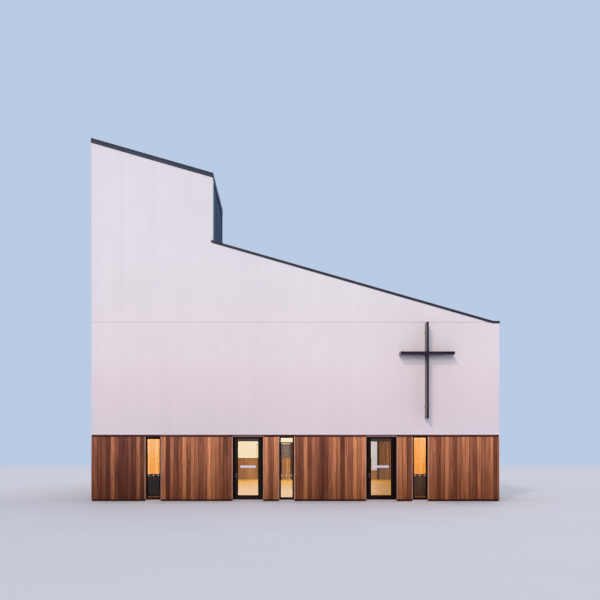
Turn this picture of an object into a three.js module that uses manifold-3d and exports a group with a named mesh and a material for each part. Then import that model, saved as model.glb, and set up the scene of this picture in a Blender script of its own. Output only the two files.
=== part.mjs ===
// Modern church building: a tall white rendered shell with a mono-pitch roof and a
// corner tower, standing on a timber-clad ground storey with two glazed doors.
// Millimetres, +Z up. The street front faces -Y. The origin is on the ground at
// the middle of the footprint.

import * as THREE from 'three';
import { mergeVertices } from 'three/addons/utils/BufferGeometryUtils.js';
import Module from 'manifold-3d';

const wasm = await Module();
wasm.setup();

// Footprint
const WIDTH = 13750;
const DEPTH = 22500;
const LEFT = -WIDTH / 2;
const RIGHT = WIDTH / 2;
const FRONT = -DEPTH / 2;
const REAR = DEPTH / 2;

// Walls
const FRONT_WALL = 450;
const SIDE_WALL = 300;
const CLADDING_SETBACK = 20;
const FRONT_INSIDE = FRONT + FRONT_WALL;
const REAR_INSIDE = REAR - SIDE_WALL;
const LEFT_INSIDE = LEFT + SIDE_WALL;
const RIGHT_INSIDE = RIGHT - SIDE_WALL;
const CLAD_FRONT = FRONT + CLADDING_SETBACK;
const CLAD_REAR = REAR - CLADDING_SETBACK;
const CLAD_LEFT = LEFT + CLADDING_SETBACK;
const CLAD_RIGHT = RIGHT - CLADDING_SETBACK;

// Levels
const FLOOR = 60;
const SLAB_SETBACK = 45;
const SILL_PLATE = 20;
const TIMBER_TOP = 2197;
const RENDER_BOTTOM = 2268;
const HEAD_SETBACK = 50;
const RENDER_JOINT = 6049;
const JOINT_GAP = 12;

// Roofs: both fall to the right at the same pitch
const PITCH = Math.tan(THREE.MathUtils.degToRad(16));
const EAVE_TOP = 6093;
const EAVE_X = 6677;
const GUTTER_HEIGHT = 103;
const COPING = 105;
const COPING_OVERHANG = 15;
const ROOF_BELOW_COPING = 60;
const ROOF_THICKNESS = 300;

// Tower over the front left corner
const TOWER_WIDTH = 4095;
const TOWER_DEPTH = 4170;
const TOWER_RIGHT = LEFT + TOWER_WIDTH;
const TOWER_REAR = FRONT + TOWER_DEPTH;
const TOWER_EDGE_TOP = 11108;
const TOWER_COPING = 160;
const TOWER_ROOF_BELOW_COPING = 115;
const TOWER_ROOF_THICKNESS = 200;
const TOWER_WALL = 250;

// Openings of the ground storey
const BAY = 4505;
const FIRST_SLIT = -4797;
const SLIT_WIDTH = 508;
const FIRST_DOOR = -1600;
const DOOR_WIDTH = 1024;
const SIDE_SLITS = 4;

// Slit windows
const SLIT_FRAME = 42;
const SLIT_SILL = 68;
const SLIT_HEAD = 30;
const SLIT_FRAME_DEPTH = 100;
const SLIT_RECESS = 60;
const SLIT_GLASS = 24;
const SIDE_WINDOW_THICKNESS = 60;
const SIDE_WINDOW_RECESS = 80;

// Doors: hinged on their right, opening towards the street
const DOOR_RECESS = 130;
const DOOR_JAMB = 60;
const DOOR_HEAD = 50;
const DOOR_SILL = 20;
const DOOR_STOP = 22;
const DOOR_STOP_DEPTH = 45;
const DOOR_GAP = 8;
const DOOR_STOP_GAP = 5;
const LEAF_THICKNESS = 50;
const LEAF_STILE = 90;
const LEAF_TOP_RAIL = 90;
const LEAF_BOTTOM_RAIL = 107;
const DOOR_GLASS = 28;
const HINGE_LEVELS = [330, 1120, 1900];
const HINGE_RADIUS = 11;
const HINGE_OFFSET = 18;
const HINGE_KNUCKLE = 45;
const HINGE_PLATE = 30;
const HINGE_PLAY = 0.3;
const HINGE_SEAT = 2;
const HANDLE_LEVEL = 920;

// Cross on the front wall
const CROSS_X = 4382;
const CROSS_BOTTOM = 2789;
const CROSS_TOP = 5992;
const CROSS_ARM_LEVEL = 4973;
const CROSS_ARM_SPAN = 1800;
const CROSS_BAR = 65;
const CROSS_DEPTH = 400;
const CROSS_STANDOFF = 100;
const CROSS_STUB = 50;
const CROSS_STUB_INSET = 120;

// Lined screens inside, behind the outer slit windows
const SCREEN_FACE = FRONT + 1850;
const SCREEN_THICKNESS = 120;
const SCREEN_TOP = 2700;
const SCREEN_LEFT_END = -4150;
const SCREEN_RIGHT_END = 3700;

// Clearance between touching sloped faces
const CONTACT = 0.3;

const slits = [0, 1, 2].map((bay) => FIRST_SLIT + bay * BAY);
const doors = [0, 1].map((bay) => FIRST_DOOR + bay * BAY);

const finish = (color, roughness, metalness = 0) =>
  new THREE.MeshStandardMaterial({ color, roughness, metalness });

const RENDER = finish(0xdedbe6, 0.85);
const TIMBER = finish(0x87523b, 0.7);
const DARK_METAL = finish(0x42404a, 0.5, 0.6);
const TRAY_METAL = finish(0x424f68, 0.5, 0.6);
const FRAME = finish(0x1c1b1f, 0.45, 0.5);
const GLASS = finish(0x9db2b8, 0.1);
const CONCRETE = finish(0x96919b, 0.9);
const STEEL = finish(0x44373d, 0.5, 0.7);
const LINING = finish(0xd98f4a, 0.7);
const HANDLE = finish(0xb9b9bd, 0.35, 0.9);

const building = new THREE.Group();

// Shape helpers

// Height of the main roof's coping line, and of the tower's, at x
const mainLine = (x) => EAVE_TOP + PITCH * (EAVE_X - x);
const towerLine = (x) => TOWER_EDGE_TOP + PITCH * (TOWER_RIGHT - x);

function add(name, geometry, material) {
  const mesh = new THREE.Mesh(geometry, material);
  mesh.name = name;
  building.add(mesh);
  return mesh;
}

function boxGeometry([x0, x1], [y0, y1], [z0, z1]) {
  const geometry = new THREE.BoxGeometry(x1 - x0, y1 - y0, z1 - z0);
  return geometry.translate((x0 + x1) / 2, (y0 + y1) / 2, (z0 + z1) / 2);
}

function addBox(name, material, xs, ys, zs) {
  const mesh = add(name, new THREE.BoxGeometry(xs[1] - xs[0], ys[1] - ys[0], zs[1] - zs[0]), material);
  mesh.position.set((xs[0] + xs[1]) / 2, (ys[0] + ys[1]) / 2, (zs[0] + zs[1]) / 2);
  return mesh;
}

function outline(points) {
  return new THREE.Shape(points.map(([u, v]) => new THREE.Vector2(u, v)));
}

function rectangle([u0, u1], [v0, v1]) {
  return outline([[u0, v0], [u1, v0], [u1, v1], [u0, v1]]);
}

function extrude(shape, depth) {
  return new THREE.ExtrudeGeometry(shape, { depth, bevelEnabled: false });
}

// An outline in (x, z), standing across the building from y0 to y1
function acrossGeometry(shape, [y0, y1]) {
  return extrude(shape, y1 - y0).rotateX(Math.PI / 2).translate(0, y1, 0);
}

function addAcross(name, material, shape, [y0, y1]) {
  const mesh = add(name, extrude(shape, y1 - y0), material);
  mesh.rotation.x = Math.PI / 2;
  mesh.position.y = y1;
  return mesh;
}

// An outline in (y, z), standing along the building from x0 to x1
const ALONG = new THREE.Matrix4().makeBasis(
  new THREE.Vector3(0, 1, 0), new THREE.Vector3(0, 0, 1), new THREE.Vector3(1, 0, 0));

function addAlong(name, material, shape, [x0, x1]) {
  const mesh = add(name, extrude(shape, x1 - x0), material);
  mesh.setRotationFromMatrix(ALONG);
  mesh.position.x = x0;
  return mesh;
}

// A plan outline in (x, y) with a thickness, sheared to the roof pitch; top is
// the height of its upper face at x = 0
function addPitched(name, material, plan, top, thickness) {
  const pitched = new THREE.Matrix4().set(
    1, 0, 0, 0,
    0, 1, 0, 0,
    -PITCH, 0, 1, 0,
    0, 0, 0, 1);
  const mesh = add(name, extrude(plan, thickness).applyMatrix4(pitched), material);
  mesh.position.z = top - thickness;
  return mesh;
}

function toSolid(geometry) {
  const bare = geometry.clone();
  bare.deleteAttribute('normal');
  bare.deleteAttribute('uv');
  const merged = mergeVertices(bare, 0.001);
  return new wasm.Manifold(new wasm.Mesh({
    numProp: 3,
    vertProperties: new Float32Array(merged.attributes.position.array),
    triVerts: new Uint32Array(merged.index.array),
  }));
}

function fuse(geometries) {
  const mesh = geometries.map(toSolid).reduce((a, b) => a.add(b)).getMesh();
  const geometry = new THREE.BufferGeometry();
  geometry.setAttribute('position', new THREE.BufferAttribute(new Float32Array(mesh.vertProperties), 3));
  geometry.setIndex(new THREE.BufferAttribute(new Uint32Array(mesh.triVerts), 1));
  geometry.computeVertexNormals();
  return geometry;
}

// Floor

function makeFloor() {
  addBox('floor_slab', CONCRETE,
    [LEFT + SLAB_SETBACK, RIGHT - SLAB_SETBACK],
    [FRONT + SLAB_SETBACK, REAR - SLAB_SETBACK],
    [0, FLOOR]);
}

// Ground storey of the street front: piers between the openings, and a dark
// recessed head beam that carries the white wall

function makeFrontGroundStorey() {
  const openings = [
    ...slits.map((x) => [x - SLIT_WIDTH / 2, x + SLIT_WIDTH / 2]),
    ...doors.map((x) => [x - DOOR_WIDTH / 2, x + DOOR_WIDTH / 2]),
  ].sort((a, b) => a[0] - b[0]);
  const starts = [CLAD_LEFT, ...openings.map((gap) => gap[1])];
  const ends = [...openings.map((gap) => gap[0]), CLAD_RIGHT];
  starts.forEach((start, i) => {
    addBox(`front_pier_${i + 1}`, TIMBER, [start, ends[i]], [CLAD_FRONT, FRONT_INSIDE], [FLOOR, TIMBER_TOP]);
  });
  addBox('front_head_beam', DARK_METAL,
    [LEFT + HEAD_SETBACK, RIGHT - HEAD_SETBACK],
    [FRONT + HEAD_SETBACK, FRONT_INSIDE],
    [TIMBER_TOP, RENDER_BOTTOM]);
}

// White walls

// Where the underside of the front coping meets the flat end over the gutter
const flatFrom = EAVE_X - COPING / PITCH + GUTTER_HEIGHT / PITCH;
const wallTop = EAVE_TOP - GUTTER_HEIGHT;

function makeWhiteWalls() {
  const jointLow = RENDER_JOINT - JOINT_GAP / 2;
  const jointHigh = RENDER_JOINT + JOINT_GAP / 2;
  const underCoping = (x) => mainLine(x) - COPING - CONTACT;
  const underTowerCoping = (x) => towerLine(x) - TOWER_COPING - CONTACT;
  const atHeight = (z) => EAVE_X - (z + COPING + CONTACT - EAVE_TOP) / PITCH;

  addAcross('front_wall_lower', RENDER, outline([
    [LEFT, RENDER_BOTTOM],
    [RIGHT, RENDER_BOTTOM],
    [RIGHT, wallTop],
    [atHeight(wallTop), wallTop],
    [atHeight(jointLow), jointLow],
    [LEFT, jointLow],
  ]), [FRONT, FRONT_INSIDE]);
  addAcross('front_wall_joint', DARK_METAL, outline([
    [LEFT + HEAD_SETBACK, jointLow],
    [atHeight(jointHigh) - HEAD_SETBACK, jointLow],
    [atHeight(jointHigh) - HEAD_SETBACK, jointHigh],
    [LEFT + HEAD_SETBACK, jointHigh],
  ]), [FRONT + CLADDING_SETBACK, FRONT_INSIDE]);
  addAcross('front_wall_upper', RENDER, outline([
    [LEFT, jointHigh],
    [atHeight(jointHigh), jointHigh],
    [TOWER_RIGHT, underCoping(TOWER_RIGHT)],
    [TOWER_RIGHT, underTowerCoping(TOWER_RIGHT)],
    [LEFT, underTowerCoping(LEFT)],
  ]), [FRONT, FRONT_INSIDE]);

  addAlong('left_wall_upper', RENDER, outline([
    [FRONT_INSIDE, RENDER_BOTTOM],
    [REAR_INSIDE, RENDER_BOTTOM],
    [REAR_INSIDE, underCoping(LEFT_INSIDE)],
    [TOWER_REAR, underCoping(LEFT_INSIDE)],
    [TOWER_REAR, underTowerCoping(LEFT_INSIDE)],
    [FRONT_INSIDE, underTowerCoping(LEFT_INSIDE)],
  ]), [LEFT, LEFT_INSIDE]);
  addBox('right_wall_upper', RENDER,
    [RIGHT_INSIDE, RIGHT], [FRONT_INSIDE, REAR_INSIDE], [RENDER_BOTTOM, wallTop]);
  addAcross('rear_wall_upper', RENDER, outline([
    [LEFT, RENDER_BOTTOM],
    [RIGHT, RENDER_BOTTOM],
    [RIGHT, wallTop],
    [atHeight(wallTop), wallTop],
    [LEFT, underCoping(LEFT)],
  ]), [REAR_INSIDE, REAR]);
}

// Ground storey of the sides and rear: a clad wall with full-height slots,
// standing on a sill plate that carries the windows in the slots

// Outline of a wall from u0 to u1 with slots up from its foot
function slottedWall([u0, u1], slots, foot, head) {
  const points = [[u1, foot], [u1, head], [u0, head], [u0, foot]];
  slots.forEach(([from, to]) => {
    points.push([from, foot], [from, TIMBER_TOP], [to, TIMBER_TOP], [to, foot]);
  });
  return outline(points);
}

// Outline of the sill plate with a window standing on it in each slot
function platedWindows([u0, u1], slots, foot) {
  const points = [[u0, foot], [u1, foot], [u1, foot + SILL_PLATE]];
  [...slots].reverse().forEach(([from, to]) => {
    points.push([to, foot + SILL_PLATE], [to, TIMBER_TOP], [from, TIMBER_TOP], [from, foot + SILL_PLATE]);
  });
  points.push([u0, foot + SILL_PLATE]);
  return outline(points);
}

function makeSideGroundStoreys() {
  const middle = (SIDE_SLITS - 1) / 2;
  const slots = Array.from({ length: SIDE_SLITS }, (_, i) => {
    const y = (i - middle) * BAY;
    return [y - SLIT_WIDTH / 2, y + SLIT_WIDTH / 2];
  });
  const span = [FRONT_INSIDE, REAR_INSIDE];
  const wall = () => slottedWall(span, slots, FLOOR + SILL_PLATE, RENDER_BOTTOM);
  const windows = () => platedWindows(span, slots, FLOOR);
  addAlong('left_wall_lower', TIMBER, wall(), [CLAD_LEFT, LEFT_INSIDE]);
  addAlong('right_wall_lower', TIMBER, wall(), [RIGHT_INSIDE, CLAD_RIGHT]);
  addAlong('left_windows', GLASS, windows(),
    [CLAD_LEFT + SIDE_WINDOW_RECESS, CLAD_LEFT + SIDE_WINDOW_RECESS + SIDE_WINDOW_THICKNESS]);
  addAlong('right_windows', GLASS, windows(),
    [CLAD_RIGHT - SIDE_WINDOW_RECESS - SIDE_WINDOW_THICKNESS, CLAD_RIGHT - SIDE_WINDOW_RECESS]);
}

function makeRearGroundStorey() {
  const slots = [
    ...slits.map((x) => [x - SLIT_WIDTH / 2, x + SLIT_WIDTH / 2]),
    ...doors.map((x) => [x - DOOR_WIDTH / 2, x + DOOR_WIDTH / 2]),
  ].sort((a, b) => a[0] - b[0]);
  const span = [CLAD_LEFT, CLAD_RIGHT];
  addAcross('rear_wall_lower', TIMBER,
    slottedWall(span, slots, FLOOR + SILL_PLATE, RENDER_BOTTOM), [REAR_INSIDE, CLAD_REAR]);
  addAcross('rear_windows', GLASS,
    platedWindows([LEFT + SLAB_SETBACK, RIGHT - SLAB_SETBACK], slots, FLOOR),
    [CLAD_REAR - SIDE_WINDOW_RECESS - SIDE_WINDOW_THICKNESS, CLAD_REAR - SIDE_WINDOW_RECESS]);
}

// Roofs, copings and gutter

function makeRoofs() {
  const mainPlan = outline([
    [TOWER_RIGHT, FRONT_INSIDE],
    [RIGHT_INSIDE, FRONT_INSIDE],
    [RIGHT_INSIDE, REAR_INSIDE],
    [LEFT_INSIDE, REAR_INSIDE],
    [LEFT_INSIDE, TOWER_REAR],
    [TOWER_RIGHT, TOWER_REAR],
  ]);
  addPitched('main_roof', TRAY_METAL, mainPlan, mainLine(0) - ROOF_BELOW_COPING, ROOF_THICKNESS);
  addPitched('tower_roof', TRAY_METAL,
    rectangle([LEFT_INSIDE, TOWER_RIGHT], [FRONT_INSIDE, TOWER_REAR]),
    towerLine(0) - TOWER_ROOF_BELOW_COPING, TOWER_ROOF_THICKNESS);
}

function makeTowerWalls() {
  const mainUnderside = (x) => mainLine(x) - ROOF_BELOW_COPING - ROOF_THICKNESS;
  const towerUnderside = (x) =>
    towerLine(x) - TOWER_ROOF_BELOW_COPING - TOWER_ROOF_THICKNESS - CONTACT;
  const inner = TOWER_RIGHT - TOWER_WALL;
  addAcross('tower_right_wall', TRAY_METAL, outline([
    [inner, mainUnderside(TOWER_RIGHT)],
    [TOWER_RIGHT, mainUnderside(TOWER_RIGHT)],
    [TOWER_RIGHT, towerUnderside(TOWER_RIGHT)],
    [inner, towerUnderside(inner)],
  ]), [FRONT_INSIDE, TOWER_REAR]);
  addAcross('tower_rear_wall', TRAY_METAL, outline([
    [LEFT_INSIDE, mainUnderside(LEFT_INSIDE)],
    [inner, mainUnderside(inner)],
    [inner, towerUnderside(inner)],
    [LEFT_INSIDE, towerUnderside(LEFT_INSIDE)],
  ]), [TOWER_REAR - TOWER_WALL, TOWER_REAR]);
}

function makeCopings() {
  const flatEnd = [
    [RIGHT + COPING_OVERHANG, wallTop],
    [RIGHT + COPING_OVERHANG, EAVE_TOP],
    [EAVE_X, EAVE_TOP],
  ];
  addAcross('front_coping', DARK_METAL, outline([
    [TOWER_RIGHT, mainLine(TOWER_RIGHT) - COPING],
    [flatFrom, wallTop],
    ...flatEnd,
    [TOWER_RIGHT, mainLine(TOWER_RIGHT)],
  ]), [FRONT - COPING_OVERHANG, FRONT_INSIDE]);
  addAcross('rear_coping', DARK_METAL, outline([
    [LEFT - COPING_OVERHANG, mainLine(LEFT - COPING_OVERHANG) - COPING],
    [flatFrom, wallTop],
    ...flatEnd,
    [LEFT - COPING_OVERHANG, mainLine(LEFT - COPING_OVERHANG)],
  ]), [REAR_INSIDE, REAR + COPING_OVERHANG]);

  const band = (line, thickness, from, to) => outline([
    [from, line(from) - thickness],
    [to, line(to) - thickness],
    [to, line(to)],
    [from, line(from)],
  ]);
  addAcross('tower_front_coping', DARK_METAL,
    band(towerLine, TOWER_COPING, LEFT - COPING_OVERHANG, TOWER_RIGHT + COPING_OVERHANG),
    [FRONT - COPING_OVERHANG, FRONT_INSIDE]);
  addAcross('tower_left_coping', DARK_METAL,
    band(towerLine, TOWER_COPING, LEFT - COPING_OVERHANG, LEFT_INSIDE),
    [FRONT_INSIDE, TOWER_REAR]);
  addAcross('left_coping', DARK_METAL,
    band(mainLine, COPING, LEFT - COPING_OVERHANG, LEFT_INSIDE),
    [TOWER_REAR, REAR_INSIDE]);
}

function makeGutter() {
  const sheet = 12;
  addAcross('right_gutter', DARK_METAL, outline([
    [RIGHT_INSIDE, wallTop],
    [RIGHT + COPING_OVERHANG, wallTop],
    [RIGHT + COPING_OVERHANG, EAVE_TOP],
    [RIGHT + COPING_OVERHANG - sheet, EAVE_TOP],
    [RIGHT + COPING_OVERHANG - sheet, wallTop + sheet],
    [RIGHT_INSIDE, wallTop + sheet],
  ]), [FRONT_INSIDE, REAR_INSIDE]);
}

// Slit windows of the street front

function makeSlitWindows() {
  const y0 = CLAD_FRONT + SLIT_RECESS;
  const glassY = y0 + (SLIT_FRAME_DEPTH - SLIT_GLASS) / 2;
  slits.forEach((x, i) => {
    const half = SLIT_WIDTH / 2;
    const pane = rectangle([x - half + SLIT_FRAME, x + half - SLIT_FRAME],
      [FLOOR + SLIT_SILL, TIMBER_TOP - SLIT_HEAD]);
    const ring = rectangle([x - half, x + half], [FLOOR, TIMBER_TOP]);
    ring.holes.push(pane.clone());
    addAcross(`slit_frame_${i + 1}`, FRAME, ring, [y0, y0 + SLIT_FRAME_DEPTH]);
    addAcross(`slit_glass_${i + 1}`, GLASS, pane, [glassY, glassY + SLIT_GLASS]);
  });
}

// Doors

function hingeHalf(pivotX, pivotY, side, level) {
  const knuckle = new THREE.CylinderGeometry(HINGE_RADIUS, HINGE_RADIUS, HINGE_KNUCKLE, 16)
    .rotateX(Math.PI / 2)
    .translate(pivotX, pivotY, level + HINGE_KNUCKLE / 2);
  const plate = boxGeometry(
    side < 0 ? [pivotX - HINGE_PLATE, pivotX] : [pivotX, pivotX + HINGE_PLATE],
    [pivotY, pivotY + HINGE_OFFSET + HINGE_SEAT],
    [level, level + HINGE_KNUCKLE]);
  return [knuckle, plate];
}

function makeDoor(x, number) {
  const face = CLAD_FRONT + DOOR_RECESS;
  const half = DOOR_WIDTH / 2;
  const leafHalf = half - DOOR_JAMB - DOOR_GAP;
  const leafFoot = FLOOR + DOOR_SILL + DOOR_GAP;
  const leafTop = TIMBER_TOP - DOOR_HEAD - DOOR_GAP;
  const pivotX = x + leafHalf + DOOR_GAP / 2;
  const pivotY = face - HINGE_OFFSET;
  const stopY = face + LEAF_THICKNESS + DOOR_STOP_GAP;

  const ring = (lip, ys) => {
    const outer = rectangle([x - half, x + half], [FLOOR, TIMBER_TOP]);
    outer.holes.push(rectangle(
      [x - half + DOOR_JAMB + lip, x + half - DOOR_JAMB - lip],
      [FLOOR + DOOR_SILL, TIMBER_TOP - DOOR_HEAD - lip]));
    return acrossGeometry(outer, ys);
  };
  add(`door_${number}_frame`, fuse([
    ring(0, [face, stopY + 1]),
    ring(DOOR_STOP, [stopY, stopY + DOOR_STOP_DEPTH]),
    ...HINGE_LEVELS.flatMap((level) => hingeHalf(pivotX, pivotY, 1, level)),
  ]), FRAME);

  const pane = rectangle(
    [x - leafHalf + LEAF_STILE, x + leafHalf - LEAF_STILE],
    [leafFoot + LEAF_BOTTOM_RAIL, leafTop - LEAF_TOP_RAIL]);
  const leaf = rectangle([x - leafHalf, x + leafHalf], [leafFoot, leafTop]);
  leaf.holes.push(pane.clone());
  const above = HINGE_KNUCKLE + HINGE_PLAY;
  add(`door_${number}_leaf`, fuse([
    acrossGeometry(leaf, [face, face + LEAF_THICKNESS]),
    ...HINGE_LEVELS.flatMap((level) => hingeHalf(pivotX, pivotY, -1, level + above)),
  ]), FRAME);

  const glassY = face + (LEAF_THICKNESS - DOOR_GLASS) / 2;
  addAcross(`door_${number}_glass`, GLASS, pane, [glassY, glassY + DOOR_GLASS]);
  add(`door_${number}_handle`, handleGeometry(x - leafHalf + LEAF_STILE / 2, face), HANDLE);
}

// A lever handle on a round rose, its lever pointing away from the door's edge
function handleGeometry(x, face) {
  const rose = new THREE.CylinderGeometry(26, 26, 8, 24)
    .translate(x, face - 4, HANDLE_LEVEL);
  const neck = new THREE.CylinderGeometry(10, 10, 50, 16)
    .translate(x, face - 30, HANDLE_LEVEL);
  const lever = boxGeometry([x - 10, x + 125], [face - 62, face - 46], [HANDLE_LEVEL - 10, HANDLE_LEVEL + 10]);
  return fuse([rose, neck, lever]);
}

// Cross, standing off the wall on four stubs

function makeCross() {
  const bar = CROSS_BAR / 2;
  const arm = CROSS_ARM_SPAN / 2;
  const back = FRONT - CROSS_STANDOFF;
  const bars = outline([
    [CROSS_X - bar, CROSS_BOTTOM],
    [CROSS_X + bar, CROSS_BOTTOM],
    [CROSS_X + bar, CROSS_ARM_LEVEL - bar],
    [CROSS_X + arm, CROSS_ARM_LEVEL - bar],
    [CROSS_X + arm, CROSS_ARM_LEVEL + bar],
    [CROSS_X + bar, CROSS_ARM_LEVEL + bar],
    [CROSS_X + bar, CROSS_TOP],
    [CROSS_X - bar, CROSS_TOP],
    [CROSS_X - bar, CROSS_ARM_LEVEL + bar],
    [CROSS_X - arm, CROSS_ARM_LEVEL + bar],
    [CROSS_X - arm, CROSS_ARM_LEVEL - bar],
    [CROSS_X - bar, CROSS_ARM_LEVEL - bar],
  ]);
  const places = [
    [CROSS_X, CROSS_BOTTOM + 400],
    [CROSS_X, CROSS_TOP - 300],
    [CROSS_X - arm + CROSS_STUB_INSET, CROSS_ARM_LEVEL],
    [CROSS_X + arm - CROSS_STUB_INSET, CROSS_ARM_LEVEL],
  ];
  const stubs = places.map(([x, z]) => boxGeometry(
    [x - CROSS_STUB / 2, x + CROSS_STUB / 2],
    [back - 1, FRONT],
    [z - CROSS_STUB / 2, z + CROSS_STUB / 2]));
  add('cross', fuse([acrossGeometry(bars, [back - CROSS_DEPTH, back]), ...stubs]), STEEL);
}

// Screens

function makeScreens() {
  const ys = [SCREEN_FACE, SCREEN_FACE + SCREEN_THICKNESS];
  addBox('left_screen', LINING, [LEFT_INSIDE, SCREEN_LEFT_END], ys, [FLOOR, SCREEN_TOP]);
  addBox('right_screen', LINING, [SCREEN_RIGHT_END, RIGHT_INSIDE], ys, [FLOOR, SCREEN_TOP]);
}

makeFloor();
makeFrontGroundStorey();
makeWhiteWalls();
makeSideGroundStoreys();
makeRearGroundStorey();
makeRoofs();
makeTowerWalls();
makeCopings();
makeGutter();
makeSlitWindows();
doors.forEach((x, i) => makeDoor(x, i + 1));
makeCross();
makeScreens();

export default building;
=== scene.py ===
"""Finished looks of the modern church building, laid out as an add-on and run as a script.

Metres, +Z up. The street front faces -Y and the origin is on the ground at the
middle of the footprint.
"""

import math
import random

import bmesh
import bpy
from bpy.props import FloatProperty, FloatVectorProperty, IntProperty, PointerProperty
from mathutils import Matrix, Vector


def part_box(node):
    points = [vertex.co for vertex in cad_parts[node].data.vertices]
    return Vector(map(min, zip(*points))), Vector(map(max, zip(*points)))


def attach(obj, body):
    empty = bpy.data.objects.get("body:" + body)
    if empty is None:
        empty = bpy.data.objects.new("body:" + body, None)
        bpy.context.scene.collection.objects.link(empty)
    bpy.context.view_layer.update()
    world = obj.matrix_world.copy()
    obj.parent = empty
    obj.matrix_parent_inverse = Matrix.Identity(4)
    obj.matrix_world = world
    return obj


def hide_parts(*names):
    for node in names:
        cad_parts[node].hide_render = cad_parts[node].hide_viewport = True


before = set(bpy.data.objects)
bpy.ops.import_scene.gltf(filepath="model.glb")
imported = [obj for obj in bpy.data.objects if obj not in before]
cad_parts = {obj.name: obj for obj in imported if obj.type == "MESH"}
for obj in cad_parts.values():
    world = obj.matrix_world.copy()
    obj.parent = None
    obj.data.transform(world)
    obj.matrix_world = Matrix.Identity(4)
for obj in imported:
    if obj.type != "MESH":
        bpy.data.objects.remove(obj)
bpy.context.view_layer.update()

bl_info = {
    "name": "Modern Church Building",
    "version": (1, 0, 0),
    "blender": (4, 5, 0),
    "location": "View3D > Sidebar > Church",
    "description": "Builds the finished pieces of a modern church around its packed frame",
    "category": "Object",
}

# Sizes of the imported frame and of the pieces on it

LEFT, RIGHT = -6.875, 6.875
FRONT, REAR = -11.25, 11.25
FRONT_INSIDE, REAR_INSIDE = -10.8, 10.95
SIDE_INSIDE = 6.575
CLAD_X, CLAD_Y = 6.855, 11.23
FRONT_DEPTH, SIDE_DEPTH = 0.43, 0.28
CORNER_LEG, CORNER_PROUD = 0.038, 0.024
BOARD_FOOT, BOARD_HEAD = 0.014, 0.016
FLOOR = 0.06
TIMBER_TOP = 2.197
RENDER_BOTTOM = 2.268
JOINT_LOW, JOINT_HIGH = 6.043, 6.055
BAY_JOINT = 4.505
WALL_TOP = 6.008
TIMBER_ZS = (FLOOR + BOARD_FOOT, TIMBER_TOP - BOARD_HEAD)
# The skirt is a dark starter strip under the boards, and its darkness also stands in for the shadow line
# there: partly painted shadow.
SKIRT_AND_SHADOW_ZS = (FLOOR - 0.036, FLOOR + 0.012)
HEAD_ZS = (TIMBER_TOP + 0.003, TIMBER_TOP + 0.064)
BEAD_ZS = (RENDER_BOTTOM - 0.004, RENDER_BOTTOM + 0.024)
FILLER_ZS = (JOINT_LOW - 0.004, JOINT_HIGH + 0.004)

PITCH = math.tan(math.radians(16))
EAVE_X, EAVE_TOP = 6.677, 6.093
COPING = 0.088
ROOF_DROP, ROOF_THICKNESS = 0.06, 0.3
TRAY_THICKNESS = 0.03
TOWER_RIGHT, TOWER_REAR = -2.78, -7.08
TOWER_EDGE_TOP = 11.087
TOWER_COPING = 0.16
TOWER_DROP, TOWER_THICKNESS = 0.115, 0.2
TOWER_WALL, TOWER_SHEET = 0.25, 0.01
OVERHANG = 0.015
CLEARANCE = 0.0003
STRAP = 0.035

SLITS = (-4.797, -0.292, 4.213)
DOORS = (-1.6, 2.905)
SLIT_WIDTH, DOOR_WIDTH = 0.508, 1.024
SIDE_SLITS = (-6.7575, -2.2525, 2.2525, 6.7575)

THRESHOLD_FRONT = -11.212
DOOR_FACE, DOOR_STOP, DOOR_FRAME_BACK = -11.1, -11.045, -11.0
SLIT_SILL_BACK = -11.07
LEAF_HALF, LEAF_DEPTH = 0.444, 0.05
LEAF_FOOT, LEAF_TOP = 0.088, 2.139
STILE, BOTTOM_RAIL = 0.09, 0.107
HINGE_LEVELS = (0.33, 1.12, 1.9)
HANDLE_LEVEL = 0.92
DOTS_LEVEL = 0.88

CROSS_X, CROSS_BOTTOM, CROSS_TOP = 4.382, 2.789, 5.992
CROSS_ARM_LEVEL, CROSS_ARM_SPAN = 4.973, 1.8
CROSS_BACK = -11.35

SCREEN_FACE, SCREEN_BACK, SCREEN_TOP = -9.4, -9.28, 2.7
SCREEN_BASE_TOP = 0.89
LEFT_SCREEN_END, RIGHT_SCREEN_END = -4.15, 3.7
DADO_FOOT, DADO_TOP, RAIL_TOP = 0.08, 1.345, 1.375
PORTAL, PORTAL_TOP = (-1.07, 0.72), 2.26
LINING_TOP = 5.7

PHOTO_PIXELS = 600
FOCAL_PIXELS = 830.8
EYE_PIXEL = (285.4, 454.0)


def main_line(x):
    """Height of the main roof's coping line at x."""
    return EAVE_TOP + PITCH * (EAVE_X - x)


def tower_line(x):
    """Height of the tower roof's coping line at x."""
    return TOWER_EDGE_TOP + PITCH * (TOWER_RIGHT - x)


def around(centre, half):
    """The span that reaches half to both sides of its centre."""
    return centre - half, centre + half


def evenly(start, end, pitch):
    """Evenly spaced places from start to end, about pitch apart."""
    count = max(1, round((end - start) / pitch))
    step = (end - start) / count
    return [start + step * i for i in range(count + 1)]


def openings(sign=1):
    """The spans of the front's openings, or of the rear's where sign is -1."""
    slits = [around(sign * x, SLIT_WIDTH / 2) for x in SLITS]
    return sorted(slits + [around(sign * x, DOOR_WIDTH / 2) for x in DOORS])


def between(gaps, low, high):
    """The stretches from low to high that the gaps leave."""
    return list(zip([low] + [gap[1] for gap in gaps], [gap[0] for gap in gaps] + [high]))


def srgb(red, green, blue):
    """Linear colour of an 8-bit screen colour."""
    def linear(value):
        value /= 255
        return value / 12.92 if value <= 0.04045 else ((value + 0.055) / 1.055) ** 2.4
    return linear(red), linear(green), linear(blue)


def colour(name, description, value):
    return FloatVectorProperty(name=name, description=description, subtype="COLOR",
                               size=3, min=0, max=1, default=srgb(*value))


def length(name, description, value):
    return FloatProperty(name=name, description=description, unit="LENGTH",
                         subtype="DISTANCE", min=0, default=value)


def strength(name, description, value):
    return FloatProperty(name=name, description=description, min=0, default=value)


# Settings

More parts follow.
